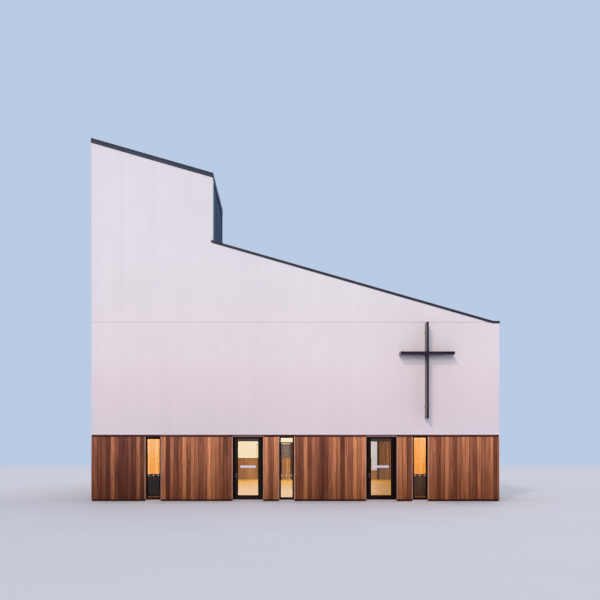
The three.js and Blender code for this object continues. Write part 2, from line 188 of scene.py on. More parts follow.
class ChurchTimberSettings(bpy.types.PropertyGroup):
    """Sizes and colours of the timber cladding"""
    board_width: length("Board width", "Usual pitch of the vertical boards", 0.139)
    board_gap: length("Board gap", "Open joint between two boards", 0.007)
    board_thickness: length("Board thickness", "Thickness of a board", 0.02)
    trim_width: length("Trim width", "Width of the trim beside each opening", 0.034)
    seed: IntProperty(name="Seed", description="Which boards come out dark or pale", default=11)
    dark: colour("Dark boards", "Colour of the darkest boards", (106, 70, 60))
    middle: colour("Middle boards", "Colour of most boards", (169, 112, 87))
    pale: colour("Pale boards", "Colour of the palest boards", (222, 151, 108))
    trim: colour("Trim", "Colour of the trims, which have gone grey", (192, 150, 134))


class ChurchWallSettings(bpy.types.PropertyGroup):
    """Sizes and colours of the white walls"""
    joint: length("Joint width", "Width of the joints in the render", 0.012)
    joint_depth: length("Joint depth", "How far a joint's filler lies back", 0.006)
    corner: length("Corner radius", "Rounding of the render's corners", 0.006)
    # Painted light and shade: render is the colour low down and high the bluer colour further up, and the
    # walls' foot is darkened as well.
    render: colour("Render", "Colour of the render near the ground", (232, 223, 227))
    high: colour("High render", "Colour of the cleaner render high up", (232, 231, 235))
    bead: colour("Bead", "Colour of the bead along the foot of the render", (247, 238, 243))


class ChurchMetalSettings(bpy.types.PropertyGroup):
    """Sizes and colours of the roofs, copings and gutter"""
    tray_width: length("Tray width", "Distance between standing seams", 0.455)
    seam_height: length("Seam height", "Height of the roofs' standing seams", 0.038)
    seam_width: length("Seam width", "Thickness of a standing seam", 0.014)
    wall_seam: length("Wall seam", "How far the tower walls' seams stand out", 0.012)
    sheet_length: length("Coping length", "Distance between the copings' joints", 2.4)
    tray: colour("Trays", "Colour of the tower walls' trays", (86, 98, 124))
    roof: colour("Roofs", "Colour of the roofs' trays", (86, 91, 103))
    coping: colour("Copings", "Colour of the copings and gutter", (59, 60, 70))
    high_coping: colour("Tower copings", "Colour of the tower's copings", (56, 63, 80))


class ChurchDoorSettings(bpy.types.PropertyGroup):
    """Sizes and colours of the doors and windows"""
    bead_width: length("Bead width", "Width of the glazing beads", 0.014)
    dot_size: length("Dot size", "Diameter of the safety dots on the slit windows", 0.044)
    dot_pitch: length("Dot pitch", "Distance between two dots", 0.164)
    band_low: length("Band foot", "Height of the frosted band's lower edge", 1.138)
    band_high: length("Band head", "Height of the frosted band's upper edge", 1.221)
    frames: colour("Frames", "Colour of the door and window frames", (18, 15, 15))
    # Painted reflection: the heads are the frames' dark aluminium, coloured paler for the sky that they
    # reflect.
    heads: colour("Door heads", "Colour of the doors' top rails and frame heads", (78, 71, 70))
    steel: colour("Handles", "Colour of the handles", (104, 103, 106))


class ChurchCrossSettings(bpy.types.PropertyGroup):
    """Sizes and colour of the cross"""
    bar: length("Bar", "Width of the cross's bars", 0.065)
    drop: length("Arm depth", "How much deeper the arm is than the upright is wide", 0.03)
    edge: length("Edge", "Rounding of the bars' edges", 0.005)
    rose: length("Rose", "Width of the round wall plates", 0.062)
    steel: colour("Steel", "Colour of the painted steel", (55, 51, 55))


class ChurchStageSettings(bpy.types.PropertyGroup):
    """Floor, light and camera"""
    sky: colour("Backdrop", "Colour of the backdrop and of the soft light", (194, 210, 235))
    soft: strength("Soft light", "Strength of the light from all round", 0.65)
    ground: colour("Floor", "Colour of the floor", (242, 241, 241))
    sun: strength("Key light", "Strength of the broad key light", 1.155)
    crisp: strength("Crisp light", "Strength of the warm light that draws shadows", 0.76)
    fill: strength("Fill light", "Strength of the fill from behind", 0.8)
    distance: length("Camera distance", "From the camera to the street front", 28.0)
    eye: length("Eye height", "Height of the camera", 1.607)
    station: FloatProperty(name="Camera station", description="Where the camera stands along the street",
                           unit="LENGTH", subtype="DISTANCE", default=-0.335)


# Finishes

class Shader:
    """A material under construction, with a Principled surface."""

    def __init__(self, name, **constants):
        self.material = bpy.data.materials.new(name)
        self.material.use_nodes = True
        self.tree = self.material.node_tree
        self.surface = self.tree.nodes["Principled BSDF"]
        for socket, value in constants.items():
            self.surface.inputs[socket.replace("_", " ")].default_value = value

    def feed(self, socket, value):
        if isinstance(value, bpy.types.NodeSocket):
            self.tree.links.new(value, socket)
        elif socket.type == "RGBA" and len(value) == 3:
            socket.default_value = (*value, 1.0)
        else:
            socket.default_value = value

    def node(self, kind, inputs, output=0, **settings):
        made = self.tree.nodes.new("ShaderNode" + kind)
        for name, value in settings.items():
            setattr(made, name, value)
        for name, value in inputs.items():
            self.feed(made.inputs[name], value)
        return made.outputs[output]

    def place(self, scale=(1, 1, 1), vector=None):
        """Object coordinates, or another vector, stretched by scale."""
        if vector is None:
            vector = self.node("TexCoord", {}, "Object")
        return self.node("Mapping", {"Vector": vector, "Scale": scale})

    def height(self):
        return self.node("SeparateXYZ", {0: self.place()}, "Z")

    def shift(self, vector, way):
        return self.node("VectorMath", {0: vector, 1: way}, operation="ADD")

    def noise(self, vector, scale, detail=4.0, roughness=0.5, distortion=0.0):
        return self.node("TexNoise", {"Vector": vector, "Scale": scale, "Detail": detail,
                                      "Roughness": roughness, "Distortion": distortion})

    def stretched(self, scale, detail=4.0, roughness=0.5, distortion=0.0, vector=None):
        """Noise that is drawn out along one axis or another."""
        return self.noise(self.place(scale, vector), 1.0, detail, roughness, distortion)

    def cells(self, vector, scale, output):
        return self.node("TexVoronoi", {"Vector": vector, "Scale": scale}, output)

    def math(self, operation, first, second):
        return self.node("Math", {0: first, 1: second}, operation=operation)

    def product(self, first, *others):
        for other in others:
            first = self.math("MULTIPLY", first, other)
        return first

    def span(self, value, low, high, to_low, to_high):
        return self.node("MapRange", {"Value": value, "From Min": low, "From Max": high,
                                      "To Min": to_low, "To Max": to_high})

    def swing(self, noise, to_low, to_high):
        """Maps the usual range of a noise."""
        return self.span(noise, 0.3, 0.7, to_low, to_high)

    def mix(self, share, first, second, blend="MIX"):
        return self.node("Mix", {0: share, 6: first, 7: second}, 2, data_type="RGBA", blend_type=blend)

    def shade(self, base, amount):
        return self.mix(1.0, base, amount, "MULTIPLY")

    def ramp(self, value, stops):
        made = self.tree.nodes.new("ShaderNodeValToRGB")
        self.feed(made.inputs[0], value)
        elements = made.color_ramp.elements
        while len(elements) < len(stops):
            elements.new(0.5)
        for element, (position, stop) in zip(elements, stops):
            element.position = position
            element.color = (*stop, 1.0)
        return made.outputs[0]

    def attribute(self, name):
        return self.node("Attribute", {}, "Fac", attribute_name=name, attribute_type="GEOMETRY")

    def bump(self, height, distance, strength, normal=None):
        inputs = {"Height": height, "Distance": distance, "Strength": strength}
        if normal is not None:
            inputs["Normal"] = normal
        return self.node("Bump", inputs)

    def wear(self, vector, amount=1.0):
        """Share of wear: along the bevelled edges, broken up by noise."""
        patches = self.span(self.noise(vector, 9.0, 5.0, 0.6), 0.42, 0.62, 0.25, 1.0)
        return self.product(self.attribute("edge"), self.product(patches, amount))

    def done(self, base=None, roughness=None, normal=None):
        for socket, value in (("Base Color", base), ("Roughness", roughness), ("Normal", normal)):
            if value is not None:
                self.feed(self.surface.inputs[socket], value)
        return self.material


def times(tint, factor):
    return tuple(min(1.0, channel * factor) for channel in tint)


def wood(name, dark, middle, pale, rough=(0.5, 0.72), foot=1.0, along="Z", relief=0.0012):
    """Grained timber whose boards differ by the attribute tone. Where foot is under 1, painted shade darkens
    it towards its foot.
    """
    shader = Shader(name, Specular_IOR_Level=0.35)

    def grained(across, down):
        return tuple(down if axis == along else across for axis in "XYZ")

    tone = shader.attribute("tone")
    apart = {axis: shader.product(tone, way) for axis, way in zip("XYZ", (41.3, 67.9, 23.7))}
    moved = shader.shift(shader.place(), shader.node("CombineXYZ", apart))
    places = shader.place(grained(5.3, 1.5), moved)
    knots = shader.cells(places, 1.0, "Distance")
    mark = shader.node("SeparateColor", {0: shader.cells(places, 1.0, "Color")}, 0)
    present = shader.math("GREATER_THAN", mark, 0.62)
    moved = shader.shift(moved, shader.product(shader.span(knots, 0.0, 0.3, 0.045, 0.0), present))
    knot = shader.product(shader.span(knots, 0.03, 0.1, 0.85, 0.0), present)
    fibre = shader.stretched(grained(150, 2.6), 6.0, 0.65, vector=moved)
    figure = shader.stretched(grained(21, 0.8), 5.0, 0.62, 0.8, moved)
    flame = shader.stretched(grained(7, 0.5), 3.0, 0.5, 0.5, moved)
    rings = shader.node("TexWave", {
        "Vector": shader.place(grained(9, 0.22), moved), "Scale": 1.6, "Distortion": 7.0,
        "Detail": 3.0, "Detail Scale": 0.8}, 1, bands_direction="DIAGONAL")
    mixed = shader.math("ADD", tone, shader.product(shader.math("SUBTRACT", flame, 0.5), 0.75))
    grain = shader.product(shader.span(figure, 0.36, 0.64, 0.66, 1.2),
                           shader.span(rings, 0.0, 1.0, 0.86, 1.06),
                           shader.span(fibre, 0.25, 0.75, 0.78, 1.16))
    # Painted shade: the grain darkens towards the foot, below a line broken up by noise.
    if foot < 1.0:
        foot_shade_edge = shader.stretched((2.3, 2.3, 0.6))
        level = shader.math("ADD", shader.height(), shader.product(foot_shade_edge, -0.9))
        grain = shader.product(grain, shader.span(level, -0.6, 1.7, foot, 1.12))
    base = shader.shade(shader.ramp(mixed, ((0.04, dark), (0.5, middle), (0.96, pale))), grain)
    base = shader.mix(knot, base, times(dark, 0.45))
    base = shader.mix(shader.wear(moved, 0.35), base, times(pale, 1.15))
    ridges = shader.math("ADD", shader.product(fibre, 0.6), figure)
    return shader.done(base, shader.swing(figure, *rough), shader.bump(ridges, relief, 0.7))


def render_coat(name, tint, streaks=0.035, high=None):
    """Fine-grained render with faint clouds and rain streaks. Where high is given, painted light turns it to
    high further up and painted shade darkens it towards its foot.
    """
    shader = Shader(name, Specular_IOR_Level=0.25)
    place = shader.place()
    if high is not None:
        # Painted light and shade by height: bluer from 4 m up, darker towards the foot below about 5 m.
        level = shader.math("ADD", shader.height(), shader.stretched((0.3, 0.3, 0.3), 3.0))
        dust_and_shade = tuple(channel * share for channel, share in zip(tint, (0.86, 0.88, 0.92)))
        tint = shader.mix(shader.span(level, 4.0, 8.5, 0.0, 1.0), tint, high)
        tint = shader.mix(shader.span(level, 2.4, 5.2, 1.0, 0.0), tint, dust_and_shade)
    clouds = shader.noise(place, 1.9, 6.0, 0.6)
    grit = shader.noise(place, 310.0, 2.0, 0.7)
    rain = shader.stretched((4.2, 4.2, 0.14), 5.0, 0.6)
    shade = shader.product(shader.swing(shader.noise(place, 0.21, 3.0), 0.975, 1.02),
                           shader.swing(clouds, 0.982, 1.012),
                           shader.span(rain, 0.35, 0.75, 1.0, 1.0 - streaks),
                           shader.swing(grit, 0.985, 1.01))
    trowel = shader.bump(shader.noise(place, 3.1, 4.0, 0.55), 0.006, 0.25)
    return shader.done(shader.shade(tint, shade), shader.swing(clouds, 0.82, 0.93),
                       shader.bump(grit, 0.0012, 0.8, trowel))


def coated_metal(name, tint, rough=(0.34, 0.5), metallic=0.25, dust=0.16, relief=0.0022, worn=2.4, gloss=0.5):
    """Coated sheet or steel: slight oil-canning, dust, and paler worn edges."""
    shader = Shader(name, Metallic=metallic, Specular_IOR_Level=gloss)
    place = shader.place()
    clouds = shader.noise(place, 2.2, 5.0, 0.6)
    streak = shader.stretched((9.0, 9.0, 0.5), 5.0, 0.6)
    shade = shader.product(shader.swing(clouds, 0.9, 1.1),
                           shader.span(shader.attribute("tone"), 0.0, 1.0, 0.6, 1.35))
    film = shader.product(shader.span(streak, 0.45, 0.75, 0.0, dust), shader.swing(clouds, 0.5, 1.2))
    dust_and_shade = tuple(0.5 * channel + 0.14 for channel in tint)
    base = shader.mix(film, shader.shade(tint, shade), dust_and_shade)
    base = shader.mix(shader.wear(place), base, times(tint, worn))
    canning = shader.bump(shader.noise(place, 1.7, 2.0), relief * 3, 0.5)
    peel = shader.bump(shader.noise(place, 420.0, 2.0), relief * 0.12, 0.4, canning)
    return shader.done(base, shader.swing(streak, *rough), peel)


def brushed_steel(name, tint):
    """Satin stainless steel with a fine brushed grain."""
    shader = Shader(name, Metallic=1.0, Anisotropic=0.4)
    brushed = shader.stretched((30, 900, 900), 4.0, 0.6)
    smears = shader.noise(shader.place(), 35.0, 4.0, 0.6)
    base = shader.mix(shader.span(smears, 0.35, 0.7, 0.0, 0.3), tint, times(tint, 0.72))
    rough = shader.math("ADD", shader.swing(brushed, 0.2, 0.34), shader.span(smears, 0.4, 0.7, 0.0, 0.1))
    return shader.done(base, rough, shader.bump(brushed, 0.00008, 0.5))


def glass(name, tint, rough=(0.0, 0.05), frost=0.0):
    """Clear pane with a faint film of dust, or frosted."""
    shader = Shader(name, Transmission_Weight=1.0 - frost, IOR=1.45)
    film = shader.noise(shader.place(), 2.4, 5.0, 0.65)
    trickles = shader.stretched((14, 14, 0.8), 4.0, 0.6)
    dirt = shader.product(shader.span(film, 0.35, 0.75, 0.0, 1.0), shader.span(trickles, 0.35, 0.7, 0.4, 1.0))
    base = shader.mix(shader.product(dirt, 0.12), tint, times(tint, 0.8))
    return shader.done(base, shader.span(dirt, 0.0, 1.0, *rough))


def concrete(name, tint):
    """Cast concrete with pores and damp patches."""
    shader = Shader(name, Specular_IOR_Level=0.3)
    place = shader.place()
    clouds = shader.noise(place, 1.6, 6.0, 0.62)
    fine = shader.noise(place, 60.0, 4.0, 0.6)
    pit = shader.span(shader.cells(place, 95.0, "Distance"), 0.05, 0.16, 0.72, 1.0)
    shade = shader.product(shader.swing(clouds, 0.84, 1.08), shader.swing(fine, 0.93, 1.04), pit)
    return shader.done(shader.shade(tint, shade), shader.swing(clouds, 0.7, 0.9),
                       shader.bump(shader.math("ADD", pit, fine), 0.001, 0.6))


def rubber(name, tint):
    """Gasket or membrane, dull and slightly dusty."""
    shader = Shader(name, Specular_IOR_Level=0.35)
    dust = shader.noise(shader.place(), 40.0, 5.0, 0.6)
    base = shader.mix(shader.span(dust, 0.45, 0.8, 0.0, 0.35), tint, times(tint, 3.0))
    return shader.done(base, shader.swing(dust, 0.6, 0.8), shader.bump(dust, 0.0004, 0.3))


def woven_blind(name, tint):
    """Plain woven cloth of a roller blind."""
    shader = Shader(name, Roughness=0.9, Specular_IOR_Level=0.2, Sheen_Weight=0.2)
    threads = {"Vector": shader.place(), "Scale": 240.0, "Distortion": 0.4}
    warp, weft = (shader.node("TexWave", threads, 1, bands_direction=axis) for axis in "XZ")
    weave = shader.math("ADD", warp, weft)
    slub = shader.stretched((3, 3, 60))
    shade = shader.product(shader.span(weave, 0.4, 1.6, 0.92, 1.03), shader.swing(slub, 0.95, 1.02))
    return shader.done(shader.shade(tint, shade), None, shader.bump(weave, 0.0003, 0.5))


def plank_floor(name, dark, middle, pale):
    """Long floor planks with dark joints, from their own pattern."""
    shader = Shader(name, Specular_IOR_Level=0.5, Coat_Weight=0.25, Coat_Roughness=0.2)
    turned = shader.node("Mapping", {"Vector": shader.place(), "Rotation": (0, 0, math.pi / 2)})
    bricks = shader.tree.nodes.new("ShaderNodeTexBrick")
    bricks.offset = 0.37
    for socket, value in {"Vector": turned, "Color1": (0, 0, 0, 1), "Color2": (1, 1, 1, 1),
                          "Mortar": (0.5, 0.5, 0.5, 1), "Scale": 1.0, "Mortar Size": 0.0022,
                          "Mortar Smooth": 0.2, "Brick Width": 1.9, "Row Height": 0.13}.items():
        shader.feed(bricks.inputs[socket], value)
    plank, joint = shader.math("ADD", bricks.outputs["Color"], 0.0), bricks.outputs["Fac"]
    apart = shader.node("CombineXYZ", {"X": shader.product(plank, 31.0), "Y": shader.product(plank, 13.0)})
    moved = shader.shift(shader.place(), apart)
    figure = shader.stretched((30, 1.4, 1), 6.0, 0.62, 0.5, moved)
    mixed = shader.math("ADD", shader.product(plank, 0.5), shader.product(figure, 0.5))
    base = shader.ramp(mixed, ((0.15, dark), (0.5, middle), (0.85, pale)))
    base = shader.mix(joint, base, times(dark, 0.3))
    height = shader.math("SUBTRACT", shader.product(figure, 0.15), joint)
    return shader.done(base, shader.swing(figure, 0.28, 0.45), shader.bump(height, 0.0012, 0.5))


def pale_ground(name, tint):
    """Plain pale floor that fades out far from the building."""
    shader = Shader(name, Specular_IOR_Level=0.2)
    place = shader.place()
    fine = shader.noise(place, 9.0, 5.0, 0.6)
    shade = shader.product(shader.swing(shader.noise(place, 0.35), 0.985, 1.01),
                           shader.swing(fine, 0.985, 1.01))
    material = shader.done(shader.shade(tint, shade), shader.swing(fine, 0.8, 0.9))
    reach = shader.node("VectorMath", {0: place}, "Value", operation="LENGTH")
    fade = shader.node("MapRange", {"Value": reach, "From Min": 44.0, "From Max": 120.0,
                                    "To Min": 0.0, "To Max": 1.0}, interpolation_type="SMOOTHSTEP")
    clear = shader.node("BsdfTransparent", {})
    both = shader.node("MixShader", {0: fade, 1: shader.surface.outputs[0], 2: clear})
    output = next(node for node in shader.tree.nodes if node.type == "OUTPUT_MATERIAL")
    shader.tree.links.new(both, output.inputs["Surface"])
    return material


def recipes():
    """The maker of each finish, its colours and its options, from the settings as they stand."""
    scene = bpy.context.scene
    timber, wall, metal = scene.church_timber, scene.church_wall, scene.church_metal
    door, cross, stage = scene.church_door, scene.church_cross, scene.church_stage
    painted = {"metallic": 0.0}
    folded = {"rough": (0.5, 0.64), "gloss": 0.4, "worn": 1.6, **painted}
    aluminium = {"rough": (0.36, 0.5), "dust": 0.02, "relief": 0.0006, "worn": 2.6, "gloss": 0.3, **painted}
    satin = {"rough": (0.4, 0.55)}
    head_tints = (srgb(88, 62, 62), srgb(108, 80, 79), srgb(122, 96, 92))
    return {
        # The foot values paint shade on the boards and trims near the ground.
        "cladding_timber": (wood, (timber.dark, timber.middle, timber.pale), {"foot": 0.47}),
        "trim_timber": (wood, [times(timber.trim, share) for share in (0.7, 1.0, 1.25)], {"foot": 0.72}),
        "head_timber": (wood, head_tints, {"along": "X"}),
        "side_head_timber": (wood, head_tints, {"along": "Y"}),
        # The high colour paints light on the walls' upper part.
        "wall_render": (render_coat, (wall.render,), {"high": wall.high}),
        "render_bead": (render_coat, (wall.bead,), {"streaks": 0.01}),
        "joint_filler": (render_coat, (times(wall.render, 0.58),), {"streaks": 0.06}),
        "inner_plaster": (render_coat, (srgb(244, 238, 220),), {"streaks": 0.0}),
        "panel_white": (render_coat, (srgb(200, 209, 234),), {"streaks": 0.0}),
        "dot_film": (render_coat, (srgb(206, 200, 196),), {"streaks": 0.0}),
        "tray_metal": (coated_metal, (metal.tray,), {
            "rough": (0.55, 0.7), "dust": 0.08, "relief": 0.004, "gloss": 0.15, **painted}),
        "roof_trays": (coated_metal, (metal.roof,), {
            "rough": (0.5, 0.66), "dust": 0.1, "relief": 0.004, "gloss": 0.2, **painted}),
        "coping_metal": (coated_metal, (metal.coping,), folded),
        "high_coping_metal": (coated_metal, (metal.high_coping,), folded),
        "dark_recess": (coated_metal, (srgb(52, 40, 41),), {"rough": (0.55, 0.7), "metallic": 0.1}),
        "head_flashing": (coated_metal, (srgb(118, 100, 98),), {
            "rough": (0.5, 0.64), "metallic": 0.1, "worn": 1.3}),
        "sill_metal": (coated_metal, (srgb(164, 158, 164),), {
            "rough": (0.3, 0.45), "metallic": 0.8, "worn": 1.2}),
        "dark_aluminium": (coated_metal, (door.frames,), aluminium),
        # Painted reflection: the frames' aluminium made paler for the door heads.
        "head_aluminium": (coated_metal, (door.heads,), aluminium),
        "cross_paint": (coated_metal, (cross.steel,), {
            "rough": (0.2, 0.3), "dust": 0.03, "relief": 0.0008, "worn": 1.5, "gloss": 0.4, **painted}),
        "dark_panel": (coated_metal, (srgb(20, 20, 22),), {
            "rough": (0.6, 0.8), "dust": 0.02, "relief": 0.0004, "gloss": 0.12, **painted}),
        "handle_steel": (brushed_steel, (door.steel,), {}),
        "clear_glass": (glass, ((0.93, 0.965, 0.955),), {}),
        "frosted_glass": (glass, (srgb(226, 224, 238),), {"rough": (0.5, 0.62), "frost": 0.75}),
        "gasket_rubber": (rubber, (srgb(20, 20, 22),), {}),
        "wall_membrane": (rubber, (srgb(26, 23, 24),), {}),
        "slab_concrete": (concrete, (srgb(186, 180, 186),), {}),
        "screen_ply": (wood, (srgb(216, 156, 72), srgb(236, 180, 90), srgb(246, 198, 110)),
                       {"relief": 0.0004, **satin}),
        "screen_batten": (wood, (srgb(240, 200, 132), srgb(252, 218, 156), srgb(255, 232, 180)),
                          {"relief": 0.0004, **satin}),
        "screen_base": (wood, (srgb(12, 11, 11), srgb(54, 38, 30), srgb(84, 60, 46)), {"rough": (0.4, 0.6)}),
        "dado_timber": (wood, (srgb(136, 92, 56), srgb(168, 118, 74), srgb(196, 146, 96)), satin),
        "batten_timber": (wood, (srgb(132, 92, 68), srgb(166, 120, 88), srgb(194, 146, 110)), satin),
        "portal_timber": (wood, (srgb(66, 42, 32), srgb(92, 60, 44), srgb(116, 78, 56)), satin),
        "hall_planks": (plank_floor, (srgb(156, 104, 26), srgb(200, 140, 40), srgb(226, 170, 56)), {}),
        "blind_cloth": (woven_blind, (srgb(236, 226, 200),), {}),
        "dim_cloth": (woven_blind, (srgb(112, 100, 96),), {}),
        "stage_floor": (pale_ground, (stage.ground,), {}),
    }


def finish_named(name):
    """The material of that name, made on first use."""
    material = bpy.data.materials.get(name)
    if material is None:
        maker, tints, options = recipes()[name]
        material = maker(name, *tints, **options)
    return material


# Parts and pieces

def new_part():
    """An empty part with the attributes that the finishes read."""
    part = bmesh.new()
    part.faces.layers.float.new("tone")
    part.faces.layers.float.new("edge")
    return part


def rounded(part, width, segments, which):
    """Rounds a part's edges, or those that which picks, and marks the new faces as worn by use."""
    if width:
        edges = [edge for edge in part.edges if which is None or which(edge)]
        made = bmesh.ops.bevel(part, geom=edges, offset=width, offset_type="OFFSET", affect="EDGES",
                               segments=segments, profile=0.5, material=-1, clamp_overlap=True)
        layer = part.faces.layers.float["edge"]
        for face in made["faces"]:
            face[layer] = 1.0
    return part


def block(xs, ys, zs, edge=0.0, segments=1, which=None):
    """A box between low and high values along X, Y and Z."""
    part = new_part()
    spans = (xs, ys, zs)
    bmesh.ops.create_cube(part, size=1.0)
    bmesh.ops.scale(part, vec=[high - low for low, high in spans], verts=part.verts)
    bmesh.ops.translate(part, vec=[(low + high) / 2 for low, high in spans], verts=part.verts)
    return rounded(part, edge, segments, which)


def middle(edge):
    return (edge.verts[0].co + edge.verts[1].co) / 2


def runs(edge, axis):
    direction = edge.verts[1].co - edge.verts[0].co
    return abs(direction["XYZ".index(axis)]) > 0.999 * direction.length


def near(value, target):
    return abs(value - target) < 1e-4


def prism(points, axis, span, edge=0.0, segments=1, which=None):
    """An outline extruded along axis: in (x, z) along Y, in (y, z) along X, in (x, y) along Z."""
    low, high = span
    put = {"X": lambda u, v: (low, u, v), "Y": lambda u, v: (u, low, v), "Z": lambda u, v: (u, v, low)}[axis]
    part = new_part()
    face = part.faces.new([part.verts.new(put(u, v)) for u, v in points])
    grown = bmesh.ops.extrude_face_region(part, geom=[face])
    moved = [item for item in grown["geom"] if isinstance(item, bmesh.types.BMVert)]
    offset = [high - low if letter == axis else 0.0 for letter in "XYZ"]
    bmesh.ops.translate(part, vec=offset, verts=moved)
    bmesh.ops.recalc_face_normals(part, faces=part.faces)
    return rounded(part, edge, segments, which)


def rod(radius, depth, centre, axis="Z", segments=24, edge=0.0, tip=None):
    """A round bar, or a cone where tip is given, with rounded rims."""
    part = new_part()
    bmesh.ops.create_cone(part, cap_ends=True, cap_tris=False, segments=segments, radius1=radius,
                          radius2=radius if tip is None else tip, depth=depth)
    rounded(part, edge, 2, lambda e: near(e.verts[0].co.z, e.verts[1].co.z))
    turn = {"X": Matrix.Rotation(math.pi / 2, 4, "Y"), "Y": Matrix.Rotation(-math.pi / 2, 4, "X"),
            "Z": Matrix.Identity(4)}[axis]
    bmesh.ops.transform(part, matrix=Matrix.Translation(centre) @ turn, verts=part.verts)
    return part


def sloped(part, level):
    """Shears a part to the roofs' pitch, about x = 0, and lifts it."""
    shear = Matrix(((1, 0, 0, 0), (0, 1, 0, 0), (-PITCH, 0, 1, level), (0, 0, 0, 1)))
    bmesh.ops.transform(part, matrix=shear, verts=part.verts)
    return part


class Piece:
    """One object in the making: parts that are joined, each with its finish."""

    def __init__(self, name, matrix=None):
        self.name = name
        self.matrix = matrix or Matrix.Identity(4)
        self.mesh = new_part()
        self.finishes = []

    def put(self, part, finish, tone=0.5):
        """Adds a part with its finish. The tone is one number or a function of the face."""
        if any(not edge.is_manifold for edge in part.edges):
            raise RuntimeError(f"a part of {self.name} is not closed")
        if finish not in self.finishes:
            self.finishes.append(finish)
        index = self.finishes.index(finish)
        layer = part.faces.layers.float["tone"]
        for face in part.faces:
            face.material_index = index
            face[layer] = tone(face) if callable(tone) else tone
        bmesh.ops.transform(part, matrix=self.matrix, verts=part.verts)
        scratch = bpy.data.meshes.new("scratch")
        part.to_mesh(scratch)
        part.free()
        self.mesh.from_mesh(scratch)
        bpy.data.meshes.remove(scratch)

    def box(self, xs, ys, zs, finish, edge=0.0, tone=0.5):
        self.put(block(xs, ys, zs, edge), finish, tone)

    def ring(self, xs, ys, zs, widths, finish, edge=0.0, head_finish=None):
        """A rectangular frame of four members. The widths are left, right, foot and head."""
        left, right, foot, head = widths
        inner = (xs[0] + left, xs[1] - right)
        self.box((xs[0], inner[0]), ys, zs, finish, edge)
        self.box((inner[1], xs[1]), ys, zs, finish, edge)
        self.box(inner, ys, (zs[0], zs[0] + foot), finish, edge)
        self.box(inner, ys, (zs[1] - head, zs[1]), head_finish or finish, edge)

    def done(self, slot, replaces=(), body="building"):
        """Makes the object, with its body and the nodes that it replaces. The slot is not used."""
        mesh = bpy.data.meshes.new(self.name)
        self.mesh.to_mesh(mesh)
        self.mesh.free()
        for finish in self.finishes:
            mesh.materials.append(finish_named(finish))
        mesh.shade_smooth()
        mesh.set_sharp_from_angle(angle=math.radians(32))
        piece = bpy.data.objects.new(self.name, mesh)
        bpy.context.scene.collection.objects.link(piece)
        flats = piece.modifiers.new("flat faces", "WEIGHTED_NORMAL")
        flats.mode, flats.weight, flats.keep_sharp = "FACE_AREA", 100, True
        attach(piece, body)
        if replaces:
            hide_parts(*replaces)


def wall_matrix(side):
    """From a wall's own frame (x along it, y inwards from its clad face) to the building's."""
    turn, place = {
        "front": (0, (0, -CLAD_Y, 0)),
        "right": (90, (CLAD_X, 0, 0)),
        "rear": (180, (0, CLAD_Y, 0)),
        "left": (-90, (-CLAD_X, 0, 0)),
    }[side]
    return Matrix.Translation(place) @ Matrix.Rotation(math.radians(turn), 4, "Z")


# Floor

class CHURCH_OT_floor(bpy.types.Operator):
    """Slab, inside floor and door thresholds"""
    bl_idname = "church.floor"
    bl_label = "Floor"
    bl_options = {"REGISTER", "UNDO"}

    def execute(self, context):
        slab = Piece("floor_plinth")
        low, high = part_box("floor_slab")
        slab.put(block(*zip(low, high), 0.006, 2), "slab_concrete")
        slab.done("concrete", ("floor_slab",))

        planks = Piece("hall_floor")
        zs = (FLOOR, FLOOR + 0.014)
        planks.box((-SIDE_INSIDE, SIDE_INSIDE), (FRONT_INSIDE, REAR_INSIDE), zs, "hall_planks", 0.002)
        for places, width, start in ((SLITS, SLIT_WIDTH, SLIT_SILL_BACK),
                                     (DOORS, DOOR_WIDTH, DOOR_FRAME_BACK)):
            for x in places:
                planks.box(around(x, width / 2), (start, FRONT_INSIDE), zs, "hall_planks", 0.002)
        planks.done("wood_lining")

        for number, x in enumerate(DOORS, 1):
            half = DOOR_WIDTH / 2 - 0.004
            plate_top, first_rib, rib_pitch = FLOOR + 0.008, -11.2, 0.014
            plate = Piece(f"door_{number}_threshold")
            plate.box(around(x, half), (THRESHOLD_FRONT, DOOR_FACE), (FLOOR, plate_top), "sill_metal", 0.002)
            for row in range(7):
                y = first_rib + row * rib_pitch
                plate.box(around(x, half - 0.004), (y, y + 0.006), (plate_top, plate_top + 0.003),
                          "sill_metal", 0.001)
            plate.done("frame_metal")
        return {"FINISHED"}


# Timber cladding

def lay_boards(piece, xs, timber, chance, painted_shade):
    """Fills a stretch of wall with boards, each of its own tone."""
    start, end = xs
    count = max(1, round((end - start) / timber.board_width))
    pitch = (end - start) / count
    gap = timber.board_gap / 2
    last = 0.5
    for i in range(count):
        tone = chance.triangular(0.0, 1.0, 0.5)
        while abs(tone - last) < 0.08:
            tone = chance.triangular(0.0, 1.0, 0.5)
        last = tone
        proud = chance.uniform(0.0, 0.0015)
        drop = chance.uniform(0.0, 0.002)
        across = (start + i * pitch + gap, start + (i + 1) * pitch - gap)
        ys = (proud, timber.board_thickness + proud)
        board = block(across, ys, (TIMBER_ZS[0] + drop, TIMBER_ZS[1]), 0.003, 1,
                      lambda e: runs(e, "Z") and middle(e).y < 0.01)
        # painted_shade lowers the board's tone: painted shade.
        piece.put(board, "cladding_timber", tone + painted_shade)


